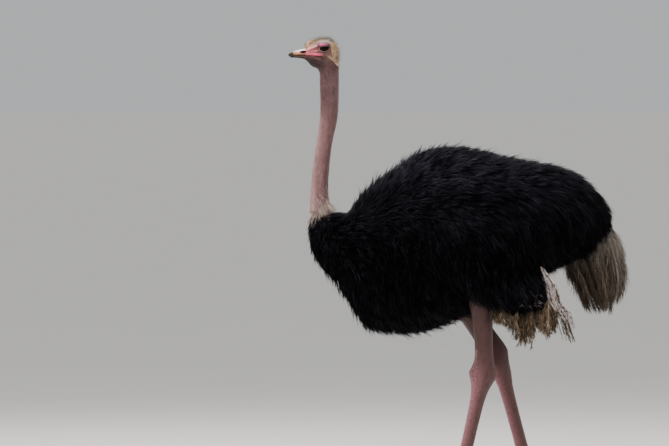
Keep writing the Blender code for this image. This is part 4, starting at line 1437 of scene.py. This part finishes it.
def build_wing_plumes(label, side):
    """The white quills at the wing's hind edge and the soft fluff that hangs under it."""
    low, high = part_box(f"wing_plumes_{label}")
    middle = (low.x + high.x) / 2
    shift = np.array((high.y, high.z)) - np.array((0.484, 1.03))
    dice = np.random.default_rng(47 if side > 0 else 53)
    gathered, name = Strands(), f"wing_fluff_{label}"
    hang_fluff(gathered, dice, side, middle, shift)
    lay_quills(gathered, dice, side, middle, shift)
    add_wisps(gathered, dice, side, middle)
    finish = plume_finish(name, ((0.022, 0.014, 0.009), (0.15, 0.096, 0.054),
                                 (0.54, 0.42, 0.3), (0.96, 0.88, 0.91)),
                          (0.05, 0.032, 0.02))
    done(gathered.made(name), finish, "pale_plumage", f"wing_plumes_{label}")


FRINGE_END = ((0.055, 0.868), (0.1, 0.85), (0.146, 0.834), (0.222, 0.828), (0.24, 0.838),
              (0.26, 0.858), (0.3, 0.85), (0.34, 0.868), (0.362, 0.896), (0.374, 0.935))
FRINGE_TUFTS = 230


def build_fringe(ground, label, side):
    """Black plumes that hang over the wing's lower and hind edges."""
    dice = np.random.default_rng(91 if side > 0 else 97)
    count = FRINGE_TUFTS
    y = dice.uniform(0.045, 0.372, count)
    end = np.interp(y, *np.array(FRINGE_END).T) + dice.normal(0.006, 0.011, count)
    end -= (dice.random(count) < 0.14) * eased(y, 0.24, 0.32) * dice.uniform(0.02, 0.05, count)
    start = np.stack([np.full(count, side * 0.3), y - 0.03, end + dice.uniform(.07, .11, count)],
                     axis=1)
    spot, normal = ground.nearest(start)
    share = np.linspace(0, 1, 4)
    tip = np.stack([side * dice.normal(0.208, 0.012, count), y + dice.normal(0.01, 0.012, count),
                    end], axis=1)
    inner = spot - normal * 0.016
    bulge = normal * dice.uniform(0.01, 0.022, count)[:, None]
    paths = inner[:, None] * (1 - share)[:, None] + tip[:, None] * share[:, None]
    paths = paths + bulge[:, None] * np.sin(share * math.pi)[:, None]
    faces = np.tile(unit(np.array((side, 0.25, 0.1))), (count, 4, 1))
    tone = np.clip(dice.normal(0.06, 0.06, count), 0, 1)
    homes = np.stack([0.05 + 0.9 * (y - 0.045) / 0.335, dice.uniform(0.1, 0.9, count)], axis=1)
    done(tufted(f"wing_fringe_{label}", paths, faces, tone, homes, 6, 211, 0.0015, 0.0095),
         BLACK, "black_plumage")


# --- fuzz, bristles and lashes
def head_lie(points, normals):
    """The lie of the head's fuzz: back from the forehead and down the nape."""
    x, y = points[:, 0], points[:, 1]
    return np.stack([0.25 * np.sign(x) * eased(normals[:, 2], 0.2, 0.8),
                     1.0 - 0.7 * eased(y, -0.545, -0.515), 0.35 - 1.5 * eased(y, -0.6, -0.52)], 1)


def neck_lie(points, _):
    """The lie of the neck's bristles: straight down."""
    return np.tile((0, 0.15, -1.0), (len(points), 1))


def at(value, roots):
    """A value that is one for all roots, or given by a function of them."""
    return value(roots) if callable(value) else value


def fuzz(gathered, skin, spacing, seed, wanted, lie, length, width, tone, rise, paint, rings=3,
         wander=0.35, clump=0.0):
    """Short fine strands over part of the skin."""
    dice = np.random.default_rng(seed)
    roots, normals = skin.scatter(spacing, seed, wanted)
    count = len(roots)
    turn = dice.normal(0, wander, count) + 0.5 * ripple(roots, 60)
    course = turned(laid(lie(roots, normals), normals), normals, turn)
    reach = at(length, roots) * dice.uniform(0.6, 1.3, count)
    share = np.linspace(0, 1, rings)
    lift = rise * dice.uniform(0.4, 1.6, count)
    bend = laid(dice.normal(size=(count, 3)), normals) * 0.16
    along = course[:, None] * share[:, None] + bend[:, None] * share[:, None] ** 2
    paths = roots[:, None] - normals[:, None] * 0.0006 + along * reach[:, None, None]
    paths = paths + normals[:, None] * (lift * reach)[:, None, None] * share[:, None] ** 0.8
    paths[:, :, 2] -= clump * reach[:, None] * share ** 2
    gathered.add(paths, np.repeat(normals[:, None], rings, axis=1),
                 width * dice.uniform(0.7, 1.3, count),
                 np.clip(at(tone, roots) + dice.normal(0, 0.14, count), 0, 1),
                 homes_of_head(roots), shape=(0.8, 0.2), paint=paint(roots))


def homes_of_head(points):
    """Places on the unwrapped head and neck: height and angle round them."""
    line = np.interp(points[:, 2], (1.26, 1.6, 1.86, 1.95), (-0.59, -0.569, -0.554, -0.575))
    return unwrapped(points[:, 2], np.arctan2(points[:, 0], points[:, 1] - line))


def crown_edge(y):
    """Lower edge of the fuzz on the side of the head at each y."""
    return np.interp(y, (-0.662, -0.64, -0.6, -0.57, -0.552, -0.545, -0.536, -0.5),
                     (1.958, 1.968, 1.986, 1.99, 1.984, 1.95, 1.905, 1.87))


def on_crown(centres):
    """Where the head has fuzz."""
    above = eased(centres[:, 2] - crown_edge(centres[:, 1]), -0.004, 0.004)
    return above * eased(centres[:, 2], 1.872, 1.9) * (centres[:, 1] > -0.66)


def on_rim(centres):
    """Where the head has a few longer hairs: most on top."""
    return on_crown(centres) * (0.35 + eased(0.035 - np.abs(centres[:, 0]), 0, 0.02))


def on_cheek(centres):
    """Where the face has bristles: thin all over, thick at the ear."""
    x, y, z = folded(centres).T
    ear = knoll(centres, (0.036, -0.545, 1.92), (0.03, 0.02, 0.022))
    jaw = eased(1.915 - z, 0, 0.02) * (z > 1.86)
    return (x > 0.012) * (ear + 0.24 + 0.16 * jaw) * (z > 1.86) * (lid_reach(centres) > 1.5) * (
        y > -0.645)


def near_neck(centres):
    """True close to the neck's middle line."""
    line = np.interp(centres[:, 2], (1.26, 1.6, 1.86), (-0.59, -0.569, -0.554))
    return (np.abs(centres[:, 0]) < 0.072) & (np.abs(centres[:, 1] - line) < 0.08)


def on_neck(centres):
    """Where the neck has bristles."""
    level = centres[:, 2]
    return eased(level, 1.24, 1.3) * (1 - eased(level, 1.86, 1.9)) * near_neck(centres)


def on_collar(centres):
    """Where the pale collar grows, fading out up the neck."""
    level = centres[:, 2] - 0.65 * (centres[:, 1] + 0.59)
    thin = 1 - 0.85 * eased(level, 1.262, 1.3) - 0.15 * eased(level, 1.3, 1.385)
    return eased(level, 1.236, 1.262) * thin * near_neck(centres)


def crown_length(roots):
    """How long the crown's fuzz is."""
    low = 0.45 + 0.55 * eased(roots[:, 2], 1.885, 1.935)
    return (0.0095 + 0.0012 * eased(-roots[:, 1], 0.61, 0.65)) * low


def cheek_paint(roots):
    """Bristles of the face: dark, and tan at the ear."""
    return painted(roots, (0.095, 0.048, 0.044), (
        knoll(roots, (0.036, -0.541, 1.918), (0.03, 0.016, 0.022)), (0.62, 0.42, 0.26)))


def neck_paint(roots):
    """Bristles of the neck: dark with pale patches."""
    return painted(roots, (0.13, 0.08, 0.072), (
        0.7 * eased(ripple(roots, 34), 0.0, 0.4), (0.46, 0.34, 0.32)))


def collar_paint(roots):
    """Down of the collar: buff to white."""
    return painted(roots, (0.45, 0.345, 0.29), (
        eased(ripple(roots, 60), -0.1, 0.4), (0.9, 0.8, 0.72)))


def build_fuzz(skin):
    """Cream fuzz on crown and nape, fine bristles on face and neck, and the pale collar."""
    crown, bristles, collar = Strands(), Strands(), Strands()
    fuzz(crown, skin, 0.00142, 61, on_crown, head_lie, crown_length, 0.0003,
         lambda roots: 0.3 + 0.3 * ripple(roots, 90), 0.46, crown_paint, 3, 0.6)
    fuzz(crown, skin, 0.0038, 62, on_rim, head_lie, lambda roots: 1.45 * crown_length(roots),
         0.00022, 0.05, 1.0, lambda roots: crown_paint(roots) * 0.3, 4, 0.8)
    fuzz(bristles, skin, 0.0021, 67, on_cheek, head_lie, 0.006, 0.00019, 0.1, 0.22, cheek_paint)
    fuzz(bristles, skin, 0.0054, 71, on_neck, neck_lie, 0.009, 0.00019, 0.1, 0.3, neck_paint)
    fuzz(collar, skin, 0.003, 73, on_collar, neck_lie,
         lambda roots: 0.044 - 0.028 * eased(roots[:, 2], 1.26, 1.34), 0.00042, 0.3, 0.32,
         collar_paint, 4, 0.3, 0.1)
    for gathered, name, finish in ((crown, "crown_fuzz", "crown_fuzz"),
                                   (bristles, "neck_bristles", "neck_bristles"),
                                   (collar, "collar", "collar_barbs")):
        done(gathered.made(name), down_finish(finish), "pale_plumage")


LASHES = 34


def build_lashes():
    """Long curved lashes on both upper lids."""
    dice = np.random.default_rng(83)
    gathered, count = Strands(), LASHES
    for _, side in SIDES:
        angle = np.linspace(0.16, 0.9, count) * math.pi + dice.normal(0, 0.02, count)
        flat, steep = np.cos(angle), np.sin(angle)
        y, z = lid_edge(angle, 1.1)
        bulge = 1 - ((y - EYE.y) / EYE_RADII.y) ** 2 - ((z - EYE.z) / EYE_RADII.z) ** 2
        x = EYE.x + EYE_RADII.x * np.sqrt(np.maximum(bulge, 0.05)) + 0.0022
        root = np.stack([side * x, y, z], axis=1)
        ahead = unit(np.stack([np.full(count, side * 0.95), flat * 0.55, 0.1 + 0.25 * steep],
                              axis=1))
        length = (0.008 + 0.006 * steep) * dice.uniform(0.8, 1.15, count)
        share = np.linspace(0, 1, 5)
        paths = root[:, None] + ahead[:, None] * (length[:, None] * share)[..., None]
        paths[:, :, 2] += length[:, None] * (0.1 * share - 0.42 * share ** 2)
        outward = np.tile((0.0, 0.0, 1.0), (count, 5, 1))
        homes = np.stack([0.1 + 0.8 * (y - y.min()) / 0.04, np.full(count, 0.5 + side * 0.3)], 1)
        gathered.add(paths, outward, np.full(count, 0.00034), np.full(count, 0.2), homes,
                     shape=(1.0, 0.1))
    finish = feather_finish("lash_bristle", (0.003, 0.002, 0.002), (0.008, 0.006, 0.005),
                            (0.02, 0.015, 0.012), 0.3)
    done(gathered.made("lashes"), finish, "black_plumage")


# --- scutes of the legs
def scute_finish(name):
    """Horn plates: pink with paler raised edges, partly a painted highlight, dark joints, brown low
    down.
    """
    shader = Shader(name, Specular_IOR_Level=0.4)
    mottle, fine = shader.noise(120, 4), shader.noise(520, 3)
    height, edge, rim = shader.axis("Z"), shader.attribute("share"), shader.attribute("rim")
    colour = shader.mix(mottle.above(0.35, 0.7), (0.33, 0.118, 0.14), (0.215, 0.08, 0.096))
    colour = shader.mix(height.above(0.5, 0.62) * 0.9, colour, (0.128, 0.056, 0.058))
    colour = shader.mix((1 - height.above(0.05, 0.16)) * 0.8, colour, (0.15, 0.09, 0.07))
    # paler raised edges: partly a painted highlight where the edges stand proud
    pale = shader.mix(0.4, colour, (0.8, 0.44, 0.5))
    colour = shader.mix(edge.above(0.35, 0.9) * 0.42, colour, pale)
    dark = shader.tinted(colour, (0.46, 0.38, 0.4))
    colour = shader.mix((1 - edge.above(0.0, 0.25)) * 0.6, colour, dark)
    colour = shader.mix(rim.above(0.45, 1.0) * 0.65, colour, (0.15, 0.064, 0.068))
    colour = shader.mix(fine.above(0.5, 0.75) * 0.3, colour, pale)
    return shader.finish(colour, mottle * 0.2 + 0.36, fine, 0.0003, 0.5)


def build_scutes(skin, label, side):
    """Overlapping plates down the front of the tarsus and along the toes."""
    upper, lower, ankle, foot = leg_line(label)
    toe_low, toe_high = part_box(f"toe_main_{label}")
    middle = (toe_low.x + toe_high.x) / 2
    bend = np.array((middle, toe_high.y - 0.052, 0.06))
    tip = np.array((middle, toe_low.y + 0.016, 0.026))
    outer_low, outer_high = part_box(f"toe_outer_{label}")
    near, far = (outer_low.x + 0.018, outer_high.x - 0.018)[::side]
    outer_start = np.array((near, outer_high.y - 0.052, 0.04))
    outer_tip = np.array((far, outer_low.y + 0.022, 0.026))
    ahead, up = np.array((0, -1.0, 0)), np.array((0, 0, 1.0))
    gathered = []
    for start, end, facing, count, sweep, proud in (
            (lower + (upper - lower) * 0.16, ankle, ahead, 18, 62, 0.0009),
            (ankle, foot, ahead, 50, 72, 0.0016), (foot, bend, ahead, 8, 70, 0.0015),
            (bend, tip, up, 17, 76, 0.0015), (outer_start, outer_tip, up, 11, 72, 0.0013)):
        along = unit(end - start)
        face = unit(facing - along * (facing @ along))
        pitch = np.linalg.norm(end - start) / count
        for number in range(count):
            wide = math.radians(sweep) * (0.92 + 0.08 * math.sin(number * 2.1))
            gathered.append(plate(skin, start + (end - start) * (number + 0.5) / count, along,
                                  face, np.cross(along, face), pitch, wide, proud))
    gathered = [part for part in gathered if part is not None]
    name, faces, offset = f"scutes_{label}", [], 0
    for part_points, part_faces, _, _ in gathered:
        faces += [[corner + offset for corner in face] for face in part_faces]
        offset += len(part_points)
    points, _, share, rim = zip(*gathered)
    mesh = bpy.data.meshes.new(name)
    mesh.from_pydata(np.concatenate(points).tolist(), [], faces)
    write_values(mesh, "share", np.concatenate(share))
    write_values(mesh, "rim", np.concatenate(rim))
    piece = placed(name, mesh)
    modified(piece, "BEVEL", width=0.0006, segments=1, limit_method="ANGLE",
             angle_limit=math.radians(35))
    done(piece, scute_finish(name), "scaly_skin")


def plate(skin, centre, along, face, across, pitch, wide, proud):
    """One scute: a curved shell on the skin whose lower edge stands proud."""
    columns, rows = 7, 3
    outer = []
    for share in np.linspace(0, 1, rows):
        level = along * pitch * (share - 0.5) * 1.02
        for place in np.linspace(-1, 1, columns):
            edge = abs(place)
            ray = face * math.cos(wide * place) + across * math.sin(wide * place)
            origin = centre + level * (1 - 0.18 * edge ** 4)
            hit = skin.tree.ray_cast(Vector(origin + ray * 0.09), Vector(-ray), 0.1)
            if hit[0] is None:
                return None
            height = proud * (0.45 + 0.7 * share) * (1 - 0.9 * edge ** 2.2)
            outer.append(np.array(hit[0]) + ray * height)
    outer = np.array(outer)
    rays = unit(outer - (centre + along * ((outer - centre) @ along)[:, None]))
    points = np.concatenate([outer, outer - rays * (proud * 1.9 + 0.0006)])
    count = rows * columns
    faces = []
    for corner in (row * columns + column for row in range(rows - 1)
                   for column in range(columns - 1)):
        quad = [corner, corner + 1, corner + columns + 1, corner + columns]
        faces += [quad, [place + count for place in reversed(quad)]]
    ring = (list(range(columns)) + [row * columns + columns - 1 for row in range(1, rows)] +
            [(rows - 1) * columns + column for column in range(columns - 2, -1, -1)] +
            [row * columns for row in range(rows - 2, 0, -1)])
    for first, second in zip(ring, ring[1:] + ring[:1]):
        faces.append([second, first, first + count, second + count])
    if np.cross(points[1] - points[0], points[columns] - points[0]) @ rays[0] < 0:
        faces = [list(reversed(corners)) for corners in faces]
    share = np.tile(np.repeat(np.linspace(0, 1, rows), columns), 2)
    return points, faces, share, np.tile(np.abs(np.linspace(-1, 1, columns)), 2 * rows)


# --- the whole bird
build_stage()
# black barbs whose bright tone is a painted bluish sheen
BLACK = feather_finish("black_barbs", (0.0002, 0.0002, 0.0003), (0.0006, 0.0005, 0.0008),
                       (0.088, 0.082, 0.118), 0.85, 0.04)
FORM, BODY, DEPTH = build_form()
SKIN = Ground(build_skin(FORM, DEPTH))
build_eyes()
build_bill()
build_claws()
build_coat(BODY, DEPTH)
build_tail()
build_fuzz(SKIN)
build_lashes()
for LABEL, SIDE in SIDES:
    build_wing_plumes(LABEL, SIDE)
    build_fringe(BODY, LABEL, SIDE)
    build_scutes(SKIN, LABEL, SIDE)
bpy.data.objects.remove(FORM)

only(bpy.context.scene.camera)
bpy.ops.object.select_all(action="DESELECT")
